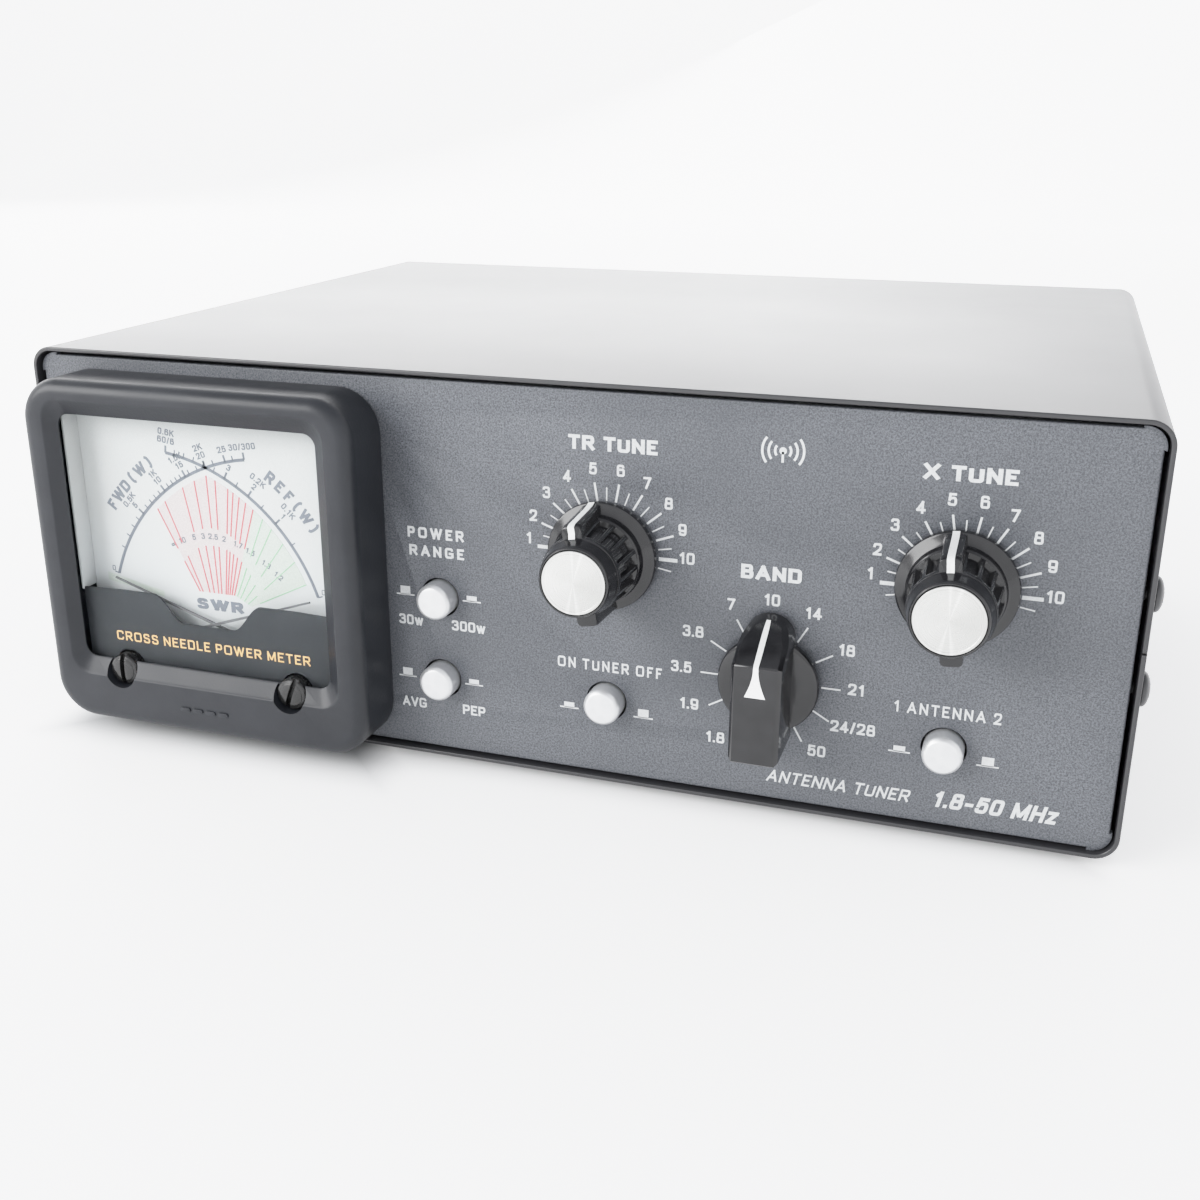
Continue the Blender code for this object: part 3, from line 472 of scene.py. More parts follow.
class Shader:
    """A Principled material with helpers for its texture nodes."""

    def __init__(self, name, colour, roughness, metallic=0.0, **values):
        self.mat = bpy.data.materials.new(name)
        self.mat.use_nodes = True
        self.tree = self.mat.node_tree
        self.bsdf = self.tree.nodes["Principled BSDF"]
        values.update(Base_Color=(*colour, 1.0), Roughness=roughness, Metallic=metallic)
        for key, value in values.items():
            self.bsdf.inputs[key.replace("_", " ")].default_value = value
        self.coords = self.node("TexCoord").outputs["Object"]
        self.height = None

    def link(self, source, target):
        self.tree.links.new(source, target)

    def node(self, kind, inputs=None, **settings):
        """A new node; each input is a value or another node's output."""
        node = self.tree.nodes.new("ShaderNode" + kind)
        for key, value in settings.items():
            setattr(node, key, value)
        for key, value in (inputs or {}).items():
            if isinstance(value, bpy.types.NodeSocket):
                self.link(value, node.inputs[key])
            else:
                node.inputs[key].default_value = value
        return node

    def stretched(self, scale):
        return self.node("Mapping", {"Vector": self.coords, "Scale": scale}).outputs["Vector"]

    def noise(self, scale, detail=3.0, rough=0.5, stretch=None):
        """Noise whose scale is in features for each millimetre."""
        source = self.stretched(stretch) if stretch else self.coords
        return self.node("TexNoise", {
            "Vector": source, "Scale": scale / MM, "Detail": detail, "Roughness": rough,
        }).outputs["Fac"]

    def cells(self, scale, feature="F1"):
        """Distance from the middles or edges of small cells."""
        inputs = {"Vector": self.coords, "Scale": scale / MM}
        return self.node("TexVoronoi", inputs, feature=feature).outputs["Distance"]

    def ramp(self, source, stops):
        """Colour ramp of (position, grey or colour)."""
        node = self.node("ValToRGB", {"Fac": source})
        elements = node.color_ramp.elements
        while len(elements) < len(stops):
            elements.new(0.5)
        for element, (position, value) in zip(elements, stops):
            element.position = position
            colour = value if isinstance(value, tuple) else (value, value, value)
            element.color = (*colour, 1.0)
        return node.outputs["Color"]

    def blend(self, factor, first, second):
        node = self.node("Mix", data_type="RGBA")
        for name, value in (("Factor", factor), ("A", first), ("B", second)):
            socket = next(s for s in node.inputs if s.name == name and s.enabled)
            if isinstance(value, tuple):
                socket.default_value = (*value, 1.0)
            else:
                self.link(value, socket)
        return next(s for s in node.outputs if s.enabled)

    def colour(self, source):
        self.link(source, self.bsdf.inputs["Base Color"])

    def vary(self, source, low, high, first, second):
        """Surface colour that goes from first to second as the source goes from low to high."""
        self.colour(self.blend(self.ramp(source, [(low, 0.0), (high, 1.0)]), first, second))

    def rough(self, source, low, high):
        node = self.node("MapRange", {
            "Value": source, "From Min": 0.3, "From Max": 0.7, "To Min": low, "To Max": high,
        })
        self.link(node.outputs["Result"], self.bsdf.inputs["Roughness"])

    def bump(self, source, depth, strength=1.0):
        """Bump with its depth in millimetres; calls add up."""
        inputs = {"Height": source, "Strength": strength, "Distance": depth * MM}
        if self.height:
            inputs["Normal"] = self.height
        self.height = self.node("Bump", inputs).outputs["Normal"]
        self.link(self.height, self.bsdf.inputs["Normal"])


def tint(colour, factor, lift=0.0):
    return tuple(channel * factor + lift for channel in colour)


def painted_steel(name, colour, roughness):
    """Satin powder coat with a faint orange peel and soft handling marks."""
    s = Shader(name, colour, roughness, Specular_IOR_Level=0.66)
    marks = s.noise(0.03, 4.0, 0.6)
    s.vary(marks, 0.35, 0.7, colour, tint(colour, 1.2, 0.002))
    s.rough(marks, roughness - 0.01, roughness + 0.015)
    s.bump(s.noise(1.3, 2.0), 0.02, 0.5)
    s.bump(s.noise(7.0, 2.0), 0.006, 0.6)
    return s.mat


def speckled_paint(name, colour, speck, roughness, metallic=0.0):
    """Dark grey paint with fine light and dark metallic specks."""
    s = Shader(name, colour, roughness, metallic)
    fine = s.noise(2.6, 3.0, 0.8)
    base = s.blend(s.ramp(fine, [(0.36, 0.0), (0.62, 1.0)]), tint(colour, 0.72), speck)
    base = s.blend(s.ramp(s.cells(2.6), [(0.08, 0.35), (0.3, 0.0)]), base, speck)
    cloud = s.ramp(s.noise(0.02, 3.0), [(0.3, 0.0), (0.75, 0.5)])
    s.colour(s.blend(cloud, base, tint(colour, 0.93)))
    s.rough(fine, roughness - 0.06, roughness + 0.1)
    s.bump(fine, 0.02, 0.55)
    s.bump(s.noise(1.1, 2.0), 0.015, 0.4)
    return s.mat


def moulded_plastic(name, colour, roughness, texture=0.5, scale=2.2, specular=0.5):
    """Moulded plastic: fine stipple, slight flow variation and dusty patches."""
    s = Shader(name, colour, roughness, Specular_IOR_Level=specular)
    patches = s.noise(0.05, 4.0, 0.65)
    s.vary(patches, 0.4, 0.8, colour, tint(colour, 1.3, 0.006))
    s.rough(patches, roughness - 0.05, roughness + 0.08)
    s.bump(s.noise(scale, 3.0, 0.6), 0.03, texture)
    return s.mat


def glossy_plastic(name, colour, roughness):
    """Polished phenolic: deep black, a little haze and fine rub marks."""
    s = Shader(name, colour, roughness, Specular_IOR_Level=0.55)
    haze = s.noise(0.22, 4.0, 0.6)
    s.vary(haze, 0.4, 0.8, colour, tint(colour, 1.8, 0.004))
    s.rough(haze, roughness - 0.03, roughness + 0.09)
    s.bump(s.noise(1.6, 3.0, 0.6, stretch=(1.0, 0.08, 1.0)), 0.006, 0.5)
    return s.mat


# Painted highlight and shade of the spun disc round its axis: bright streaks for the glint of spun metal and
# darker sectors between them, as (share of a turn, grey).
CAP_PAINTED_GLINT = [
    (0.0, 0.7), (0.2, 0.68), (0.222, 0.95), (0.232, 0.66), (0.262, 0.66), (0.272, 0.95),
    (0.295, 0.68), (0.46, 0.58), (0.56, 0.6), (0.69, 0.68), (0.705, 0.95), (0.72, 0.66),
    (0.745, 0.66), (0.755, 0.95), (0.77, 0.68), (1.0, 0.7),
]


def spun_aluminium_painted_glint(name):
    """Turned disc: fine concentric lines, and the fan-shaped glint of spun metal as a painted highlight in
    its colour, set by the angle round the axis.
    """
    s = Shader(name, (0.66, 0.66, 0.64), 0.27, 1.0, Anisotropic=0.6)
    tangent = s.node("Tangent", direction_type="RADIAL", axis="Y")
    s.link(tangent.outputs["Tangent"], s.bsdf.inputs["Tangent"])
    radius = s.node("VectorMath", {0: s.stretched((1.0, 0.0, 1.0))}, operation="LENGTH")
    rings = {"W": radius.outputs["Value"], "Scale": 6.0 / MM, "Detail": 3.0}
    lines = s.node("TexNoise", rings, noise_dimensions="1D").outputs["Fac"]
    # Painted highlight and shade: bright streaks and darker fans by angle round the axis, fixed to the disc.
    turn = s.node("Mapping", {"Vector": s.coords, "Rotation": (math.radians(-90), 0.0, 0.0)})
    angle = s.node("TexGradient", {"Vector": turn.outputs["Vector"]}, gradient_type="RADIAL")
    stops = [(share, (grey, grey, grey - 0.02)) for share, grey in CAP_PAINTED_GLINT]
    s.vary(lines, 0.25, 0.7, (0.6, 0.6, 0.575), s.ramp(angle.outputs["Fac"], stops))
    s.rough(lines, 0.22, 0.36)
    s.bump(lines, 0.004, 0.6)
    return s.mat


def brushed_metal(name, colour, roughness, stretch=(0.05, 1.0, 1.0), metallic=1.0):
    """Drawn or rolled metal with a direction, and cloudy tarnish."""
    s = Shader(name, colour, roughness, metallic)
    grain = s.noise(2.0, 3.0, 0.6, stretch=stretch)
    cloud = s.noise(0.09, 4.0, 0.6)
    s.vary(cloud, 0.35, 0.75, colour, tint(colour, 0.78))
    s.rough(grain, roughness - 0.06, roughness + 0.12)
    s.bump(grain, 0.006, 0.5)
    return s.mat


def satin_silver(name):
    """Silver-sprayed button plastic with a fine sparkle."""
    s = Shader(name, (0.7, 0.71, 0.71), 0.34, 0.7)
    sparkle = s.noise(6.0, 2.0, 0.7)
    s.vary(s.noise(0.4, 3.0), 0.4, 0.75, (0.74, 0.75, 0.76), (0.66, 0.67, 0.68))
    s.rough(sparkle, 0.28, 0.4)
    s.bump(sparkle, 0.008, 0.4)
    return s.mat


def printed_ink(name, colour):
    """Screen-printed ink with a slightly uneven film."""
    s = Shader(name, colour, 0.5)
    film = s.noise(2.5, 3.0, 0.6)
    s.vary(film, 0.35, 0.65, tint(colour, 0.86), colour)
    s.rough(film, 0.42, 0.58)
    s.bump(film, 0.01, 0.3)
    return s.mat


def dial_card(name):
    """White dial with a faint paper grain, and a painted shade towards its foot under the mask, where it
    turns a little bluer.
    """
    s = Shader(name, (0.45, 0.455, 0.45), 0.55)
    grain = s.noise(3.0, 3.0)
    card = s.ramp(grain, [(0.3, (0.432, 0.437, 0.435)), (0.7, (0.47, 0.473, 0.469))])
    split = s.node("SeparateXYZ", {"Vector": s.node("TexCoord").outputs["Generated"]})
    # Painted shade under the mask: the lower part of the dial blends to a bluer grey.
    foot = s.ramp(split.outputs["Z"], [(0.28, 1.0), (0.52, 0.0)])
    s.colour(s.blend(foot, card, (0.455, 0.465, 0.47)))
    s.rough(grain, 0.5, 0.62)
    s.bump(grain, 0.005, 0.3)
    return s.mat


def clear_plastic(name):
    """Clear moulded cover with the faintest haze and no reflection."""
    s = Shader(name, (0.96, 0.98, 0.98), 0.02, IOR=1.0, Transmission_Weight=1.0)
    s.rough(s.noise(0.08, 3.0), 0.01, 0.035)
    return s.mat


def rubber(name):
    s = Shader(name, (0.025, 0.025, 0.026), 0.8)
    grain = s.noise(2.5, 4.0, 0.6)
    s.colour(s.ramp(grain, [(0.3, (0.018, 0.018, 0.019)), (0.75, (0.05, 0.05, 0.05))]))
    s.rough(grain, 0.7, 0.9)
    s.bump(grain, 0.04, 0.6)
    return s.mat


def circuit_board(name):
    """Green board with faint copper tracks under the resist."""
    s = Shader(name, (0.03, 0.2, 0.09), 0.4)
    tracks = s.ramp(s.cells(0.16, "DISTANCE_TO_EDGE"), [(0.06, 1.0), (0.09, 0.0)])
    s.colour(s.blend(tracks, (0.02, 0.16, 0.07), (0.08, 0.36, 0.16)))
    s.rough(s.noise(0.6), 0.3, 0.5)
    s.bump(tracks, 0.03, 0.5)
    return s.mat


def ceramic(name):
    s = Shader(name, (0.82, 0.79, 0.7), 0.4)
    mottle = s.noise(0.5, 4.0, 0.6)
    s.colour(s.ramp(mottle, [(0.35, (0.74, 0.71, 0.62)), (0.7, (0.86, 0.83, 0.75))]))
    s.rough(mottle, 0.3, 0.5)
    s.bump(s.noise(2.0), 0.02, 0.4)
    return s.mat


BLACK_PAINT = painted_steel("black_powder_coat", (0.018, 0.018, 0.02), 0.3)
SCREW_PAINT = painted_steel("black_screw_finish", (0.02, 0.02, 0.022), 0.3)
PANEL_PAINT = speckled_paint("speckled_grey_paint", (0.05, 0.055, 0.064), (0.15, 0.158, 0.174), 0.42, 0.12)
BEZEL = moulded_plastic("moulded_bezel", (0.011, 0.0125, 0.016), 0.38, 1.0, 1.6, specular=0.36)
METER_BLACK = moulded_plastic("meter_moulding", (0.02, 0.02, 0.022), 0.45)
MASK = moulded_plastic("meter_mask", (0.0145, 0.016, 0.0185), 0.6, 0.03, 0.6, specular=0.28)
SWITCH_BLACK = moulded_plastic("switch_moulding", (0.02, 0.02, 0.022), 0.5)
KNOB = glossy_plastic("black_phenolic", (0.006, 0.006, 0.007), 0.12)
ADJUSTER = glossy_plastic("adjuster_black", (0.008, 0.008, 0.008), 0.22)
CAP = spun_aluminium_painted_glint("spun_aluminium_painted_glint")
SILVER = satin_silver("silver_button")
WHITE_INK = printed_ink("white_ink", (0.86, 0.87, 0.86))
LEGEND_INK = printed_ink("silver_grey_ink", (0.6, 0.615, 0.62))
DIAL = dial_card("dial_card")
DIAL_INK = printed_ink("dial_grey_ink", (0.12, 0.13, 0.155))
DIAL_RED = printed_ink("dial_red_ink", (0.55, 0.1, 0.11))
DIAL_GREEN = printed_ink("dial_green_ink", (0.22, 0.42, 0.24))
FAN_RED = printed_ink("dial_pale_red", (0.475, 0.413, 0.41))
FAN_GREEN = printed_ink("dial_pale_green", (0.428, 0.465, 0.42))
GOLD_INK = printed_ink("gold_ink", (0.78, 0.42, 0.16))
NEEDLE = printed_ink("needle_black", (0.1, 0.1, 0.105))
WINDOW = clear_plastic("clear_cover")
STEEL = brushed_metal("plated_steel", (0.6, 0.6, 0.61), 0.33)
ALUMINIUM = brushed_metal("sheet_aluminium", (0.78, 0.78, 0.78), 0.35)
BRASS = brushed_metal("turned_brass", (0.78, 0.58, 0.28), 0.28, stretch=(1.0, 1.0, 0.05))
COPPER = brushed_metal("copper_wire", (0.83, 0.42, 0.26), 0.3)
NICKEL = brushed_metal("nickel_plate", (0.72, 0.71, 0.68), 0.24, stretch=(1.0, 0.1, 1.0))
RUBBER = rubber("foot_rubber")
BOARD = circuit_board("circuit_board")
CERAMIC = ceramic("glazed_ceramic")


# ---------------------------------------------------------------- case

SHEET, CORNER_R, SEAM_Z = 1.0, 5.0, 45.0


def shell_outline(lip_z, inset=0.0):
    """Section of the upper U-shaped cover; inset thins it on every side."""
    outer, inner = [], []
    for side in (0, 1):
        centre_x = (CASE_W - CORNER_R, CORNER_R)[side]
        for t in arc(90 * side, 90 * side + 90, 10):
            x, z = polar(t, CORNER_R - inset, (centre_x, CASE_H - CORNER_R))
            outer.append((x, z))
            x, z = polar(t, CORNER_R - SHEET + inset, (centre_x, CASE_H - CORNER_R))
            inner.append((x, z))
    low = lip_z + inset
    outer = [(CASE_W - inset, low)] + outer + [(inset, low)]
    inner = [(CASE_W - SHEET + inset, low)] + inner + [(SHEET - inset, low)]
    return outer + inner[::-1]


def make_covers():
    """Two folded shells with eased edges at the front and the rear."""
    edge = 0.28
    ends = [(edge * (1 - math.sin(t)), edge * (1 - math.cos(t))) for t in arc(0, 90, 4)]
    stations = ends + [(inset, CASE_D - y) for inset, y in ends[::-1]]
    upper = [(shell_outline(SEAM_Z + 0.12, inset), y) for inset, y in stations]
    lower = [([(x, CASE_H - z) for x, z in outline], y) for outline, y in upper]
    for node, sections in (("top_cover", upper), ("bottom_cover", lower)):
        make_piece(f"{node}_shell", solid(loft, sections), BLACK_PAINT, replaces=[node],
                   slot="black_steel")


def make_panel(name, node, face, inward, cut_holes):
    """Folded tray: flat face with rounded corner tabs, and edges bent back between them."""
    bend, depth, thick, inset, foot_inset = 0.45, 12.3, 1.5, 1.9, 1.5
    tab, proud, radius = 3.0, 0.45, 4.0
    centre = (CASE_W / 2, (CASE_H - inset + foot_inset) / 2)
    half = (CASE_W / 2 - inset, (CASE_H - inset - foot_inset) / 2)

    def loop(shrink, back):
        size = (half[0] - shrink, half[1] - shrink)
        return (rounded_rect(centre, size, 0.2, 1), face + inward * back)

    loops = [loop(0.0, depth)]
    loops += [loop(bend * (1 - math.cos(t)), bend * (1 - math.sin(t))) for t in arc(0, 90, 6)]
    panel = bare_object(name, solid(tray, loops, [loop(thick, depth), loop(thick, thick)]))
    low_y, high_y = sorted((face - inward, face + inward * (depth + 1.0)))
    corners = [(sx, sz, centre[0] + sx * half[0], centre[1] + sz * half[1])
               for sx in (-1, 1) for sz in (-1, 1)]
    bm = bmesh.new()
    for sx, sz, x, z in corners:
        xs, zs = sorted((x + sx, x - sx * tab)), sorted((z + sz, z - sz * tab))
        box(bm, (xs[0], low_y, zs[0]), (xs[1], high_y, zs[1]))
    carve(panel, bm)
    middle = proud - radius
    start = math.degrees(math.acos((tab + middle) / -radius)) - 90
    outline = [polar(t, radius, (middle, middle)) for t in arc(start, 90 - start, 10)]
    lap, root = -tab - 0.6, -1.5
    outline += [(-tab, root), (lap, root), (lap, lap), (root, lap), (root, -tab)]
    near, far = sorted((face, face + inward * thick))
    for sx, sz, x, z in corners:
        carve(panel, solid(prism, [(x + sx * a, z + sz * b) for a, b in outline], near, far), "UNION")
    carve(panel, solid(cut_holes))
    return finish_piece(panel, PANEL_PAINT, "chassis", replaces=[node], slot="panel_paint",
                        angle=32, bevel=0.12)


def front_holes(bm):
    """Holes for three shafts, four buttons and the meter."""
    for x, z in ((TR_X, TR_Z), (X_X, X_Z), (BAND_X, BAND_Z)):
        prism(bm, circle(4.6, 32, x, z), FACE - 1, FACE + 3)
    for x, z in BUTTONS.values():
        prism(bm, circle(4.65, 48, x, z), FACE - 1, FACE + 3)
    prism(bm, rounded_rect((METER_X, WINDOW_Z), (36.65, 34.0), 3.0, 4), FACE - 1, FACE + 3)


SOCKETS = {"rig_socket": 60.0, "antenna_1_socket": 112.0, "antenna_2_socket": 164.0}
SOCKET_Z = 46.0
GROUND = (222.0, 27.0)
JACK = (222.0, 62.0)


def rear_holes(bm):
    """Holes for three sockets, the ground stud and the supply jack."""
    for x in SOCKETS.values():
        prism(bm, circle(8.1, 32, x, SOCKET_Z), REAR_FACE - 3, REAR_FACE + 1)
    prism(bm, circle(2.9, 24, *GROUND), REAR_FACE - 3, REAR_FACE + 1)
    prism(bm, circle(4.5, 24, *JACK), REAR_FACE - 3, REAR_FACE + 1)


def make_cover_screws():
    """Domed heads with a cross recess."""
    radius, rise, gap, rim = 3.55, 1.85, 0.3, 0.45
    profile = [(0.0, -6.8), (1.1, -6.8), (1.4, -6.2), (1.4, gap), (radius - 0.3, gap)]
    profile += [(radius, gap + 0.25), (radius, gap + rim)]
    for t in arc(0, 80, 8)[1:]:
        profile.append((radius * math.cos(t), gap + rim + (rise - rim) * math.sin(t)))
    profile.append((0.0, gap + rise))
    for side, x, sign in (("left", 0.0, -1), ("right", CASE_W, 1)):
        for end, y in (("front", 8.0), ("rear", CASE_D - 8.0)):
            for level, z in (("lower", 34.8), ("upper", 54.6)):
                bm = solid(turned, [(r, sign * d) for r, d in profile], 40, "X")
                node = f"cover_screw_{side}_{end}_{level}"
                screw = bare_object(node + "_head", bm, (x, y, z))
                near, far = sorted((sign * (gap + rise - 1.3), sign * (gap + rise + 1.0)))
                for turn in (25, 115):
                    bm = solid(box, (near, -0.42, -2.1), (far, 0.42, 2.1))
                    bm.transform(Matrix.Rotation(math.radians(turn), 4, "X"))
                    carve(screw, bm, origin=(x, y, z))
                finish_piece(screw, SCREW_PAINT, "chassis", replaces=[node], slot="screw_black",
                             angle=30, bevel=0.1)


# ---------------------------------------------------------------- legends

def tune_scale(bm, axis_x, axis_z):
    """Scale of 1 to 10 over the upper half turn, with a mark between each pair."""
    axis = (axis_x, axis_z)
    for i in range(21):
        angle = math.radians(190 - i * 10)
        whole = i % 2 == 1
        outer = 15.6 if whole else 14.5
        width = 0.45 if whole else 0.28
        if i in (1, 19):
            width = 0.8
        add_stroke(bm, polar(angle, 11.6, axis), polar(angle, outer, axis), width)
        if whole:
            rise = 0.75 + (1.0 if i == 1 else 0.0)
            centre = (axis_x + 17.6 * math.cos(angle), axis_z + 17.9 * math.sin(angle) + rise)
            add_text(bm, str((i + 1) // 2), centre, 2.55, bold=0.19)


def push_glyph(bm, x, z, block):
    """A pushed-in or let-out button, drawn as a block on a line."""
    add_stroke(bm, (x - 2.2, z), (x + 2.2, z), 0.32)
    box(bm, (x - 1.2, FACE - INK, z), (x + 1.2, FACE + SUNK, z + block))


# Text, its middle, height, width, weight and other options.
LEGENDS = [
    ("TR TUNE", 143.0, 77.1, 3.1, 19.4, 0.23, {}),
    ("X TUNE", 214.7, 76.9, 3.1, 17.6, 0.23, {}),
    ("BAND", 177.3, 52.7, 3.1, 12.6, 0.23, {}),
    ("POWER", 102.0, 53.6, 2.5, 13.6, 0.21, {"gap": 0.85}),
    ("RANGE", 102.1, 49.4, 2.5, 13.3, 0.21, {"gap": 0.85}),
    ("30w", 95.1, 32.5, 2.4, 6.0, 0.19, {}),
    ("300w", 109.3, 32.4, 2.4, 8.2, 0.19, {}),
    ("AVG", 95.1, 12.0, 2.4, 6.1, 0.19, {}),
    ("PEP", 110.1, 11.9, 2.4, 5.6, 0.19, {}),
    ("ON TUNER OFF", 142.6, 27.2, 2.5, 23.9, 0.18, {"gap": 0.8}),
    ("1 ANTENNA 2", 214.5, 27.1, 2.5, 21.3, 0.17, {"gap": 0.7}),
    ("ANTENNA TUNER", 193.6, 7.0, 2.8, 30.0, 0.16, {"slant": 0.24, "gap": 0.5}),
    ("1.8-50 MHz", 225.7, 7.4, 3.7, 24.5, 0.21, {"slant": 0.24}),
]
# Angle, number, and the number's middle from the knob's axis.
BANDS = [
    (240, "1.8", -11.3, -14.8), (210, "1.9", -17.3, -7.7), (180, "3.5", -19.2, 0.7),
    (150, "3.8", -16.8, 9.1), (120, "7", -8.8, 16.2), (90, "10", -0.3, 18.1),
    (60, "14", 8.4, 16.2), (30, "18", 15.6, 9.0), (0, "21", 18.1, 0.5),
    (-30, "24/28", 17.9, -8.2), (-60, "50", 10.7, -14.6),
]
# Place and height of each block on a line.
PUSH_GLYPHS = [
    (94.0, 38.5, 2.0), (110.3, 38.6, 1.3), (93.7, 18.4, 2.0), (110.3, 18.4, 1.3),
    (133.3, 16.2, 1.3), (150.5, 16.2, 2.0), (205.7, 16.9, 1.3), (223.4, 16.4, 2.0),
]


def make_legends():
    bm = bmesh.new()
    for text, x, z, height, width, bold, options in LEGENDS:
        add_text(bm, text, (x, z), height, width, bold=bold, **options)
    for centre in SCALES:
        tune_scale(bm, *centre)
    for angle, label, dx, dz in BANDS:
        t = math.radians(angle)
        centre = (BAND_X, BAND_Z)
        if angle != 90:
            add_stroke(bm, polar(t, 10.9, centre), polar(t, 14.9, centre), 0.36)
        add_text(bm, label, (BAND_X + dx, BAND_Z + dz), 2.55, bold=0.19)
    for x, z, block in PUSH_GLYPHS:
        push_glyph(bm, x, z, block)
    make_piece("panel_legends", bm, LEGEND_INK, slot="panel_paint")


def make_emblem():
    """Plain wave mark: three nested arcs over a mast."""
    bm = bmesh.new()
    x, z = 178.5, 76.2
    add_stroke(bm, (x, z), (x, z + 2.2), 0.5)
    for radius in (1.6, 2.9, 4.2):
        for side in (0, 180):
            add_arc(bm, (x, z + 2.4), radius, side - 38, side + 38, 0.5, FACE, 12)
    prism(bm, circle(0.75, 20, x, z + 2.4), FACE - INK, FACE + SUNK)
    make_piece("panel_emblem", bm, LEGEND_INK, slot="panel_paint")


# ---------------------------------------------------------------- meter

def cut_adjuster_holes(piece):
    """Round notches for the two zero adjusters."""
    for side in (-1, 1):
        centre = (METER_X + side * ADJUSTER_X, ADJUSTER_Z)
        carve(piece, solid(prism, circle(4.1, 40, *centre), -14.3, -2.6))


def make_bezel():
    """Frame with a rounded front, a stepped opening, a cavity behind and four small ribs."""
    outer, window, opening = (METER_X, METER_Z), (METER_X, WINDOW_Z), (METER_X - 0.35, WINDOW_Z)
    wide, tall, corner, front, back, fillet = 42.05, 41.55, 10.0, -13.3, 1.2, 3.2

    def loop(centre, half_x, half_z, radius, y):
        return (rounded_rect(centre, (half_x, half_z), radius, 14), y)

    loops = [loop(outer, wide, tall, corner, back)]
    for t in arc(0, 90, 10):
        inset = fillet * (1 - math.cos(t))
        y = front + fillet * (1 - math.sin(t))
        loops.append(loop(outer, wide - inset, tall - inset, corner - inset, y))
    for out, deep in ((0.45, 0.0), (0.15, 0.1), (-0.1, 0.35)):
        loops.append(loop(window, 35.7 + out, 33.2 + out, 5.0, front + deep))
    for out, y in ((0.25, -11.15), (0.0, -10.9), (0.0, -10.6)):
        loops.append(loop(opening, 33.05 + out, 29.6 + out, 3.0, y))
    loops += [loop(window, 36.0, 33.35, 4.0, y) for y in (-10.6, back)]
    bezel = bare_object("meter_bezel_moulding", solid(loft, loops, closed=True))
    cut_adjuster_holes(bezel)
    finish_piece(bezel, BEZEL, "chassis", replaces=["meter_bezel"], slot="bezel_plastic", angle=40)
    bm = bmesh.new()
    for i in range(4):
        x = METER_X - 5.1 + i * 3.4
        outline = rounded_rect((x, 8.6), (1.35, 0.55), 0.5, 4)
        loft(bm, [(outline, front + 0.05), (outline, front - 0.3)])
    make_piece("meter_bezel_ribs", bm, BEZEL, slot="bezel_plastic", bevel=0.05)


def make_window():
    """Clear cover: a flat pane with side walls, notched for the adjusters."""
    centre = (METER_X, WINDOW_Z)
    outer = rounded_rect(centre, (35.65, 33.0), 3.5, 6)
    inner = rounded_rect(centre, (34.45, 31.8), 2.3, 6)
    eased = rounded_rect(centre, (35.3, 32.6), 3.2, 6)
    outside, inside = [(outer, 0.9), (outer, -9.9), (eased, -10.3)], [(inner, 0.9), (inner, -8.9)]
    window = bare_object("meter_clear_cover", solid(tray, outside, inside))
    cut_adjuster_holes(window)
    finish_piece(window, WINDOW, "chassis", replaces=["meter_window"], slot="window_clear")
    window.visible_shadow = False


def make_mask():
    """Dark plate with a dip where the needles cross."""
    left, right, top, dip = METER_X - 33.8, METER_X + 33.8, 34.9, 28.3
    slope = []
    for t in arc(0, 180, 20):
        slope.append((14.5 - 8.0 * t / math.pi, dip + (top - dip) * (1 + math.cos(t)) / 2))
    outline = [(left, 16.6), (right, 16.6), (right, top - 0.4), (METER_X + 24.0, top)]
    outline += [(METER_X + x, z) for x, z in slope] + [(METER_X - x, z) for x, z in slope[::-1]]
    outline += [(METER_X - 24.0, top), (left, top - 0.4)]
    face = -8.6
    mask = bare_object("meter_mask_plate", solid(prism, outline, face, -8.2))
    cut_adjuster_holes(mask)
    finish_piece(mask, MASK, "chassis", replaces=["meter_mask"], slot="mask_black")
    bm = solid(add_text, "CROSS NEEDLE POWER METER", (METER_X + 0.3, 23.2), 2.3, 52.4, y=face,
               bold=0.14, gap=0.6)
    make_piece("meter_mask_lettering", bm, GOLD_INK, slot="mask_black")


SWEEP, ZERO = 63.6, 161.5
ARC_R = 46.0
FORWARD, REFLECTED = (METER_X + PIVOT_X, PIVOT_Z), (METER_X - PIVOT_X, PIVOT_Z)


def scale_angle(value, full, side):
    """Needle angle for a power; the scales open out towards zero."""
    turn = SWEEP * (value / full) ** (0.58 if side == 1 else 0.54)
    return ZERO - turn if side == 1 else 180 - ZERO + turn


def dial_scale(bm, pivot, full, side, steps, majors):
    """One power scale: arc, marks and numbers."""
    start, end = scale_angle(0, full, side), scale_angle(full, full, side)
    add_arc(bm, pivot, ARC_R, start, end, 0.75, DIAL_Y)
    for value in steps:
        t = math.radians(scale_angle(value, full, side))
        long = value in majors
        reach = 1.7 if long else 1.2
        add_stroke(bm, polar(t, ARC_R, pivot), polar(t, ARC_R + reach, pivot), 0.5 if long else 0.3, y=DIAL_Y)
    for value, labels in majors.items():
        angle = scale_angle(value, full, side)
        t = math.radians(angle)
        for row, label in enumerate(labels):
            x, z = polar(t, ARC_R + 3.0 + row * 1.9, pivot)
            add_text(bm, label, (x, z), 1.5, y=DIAL_Y, turn=angle - 90, bold=0.2, gap=0.25)


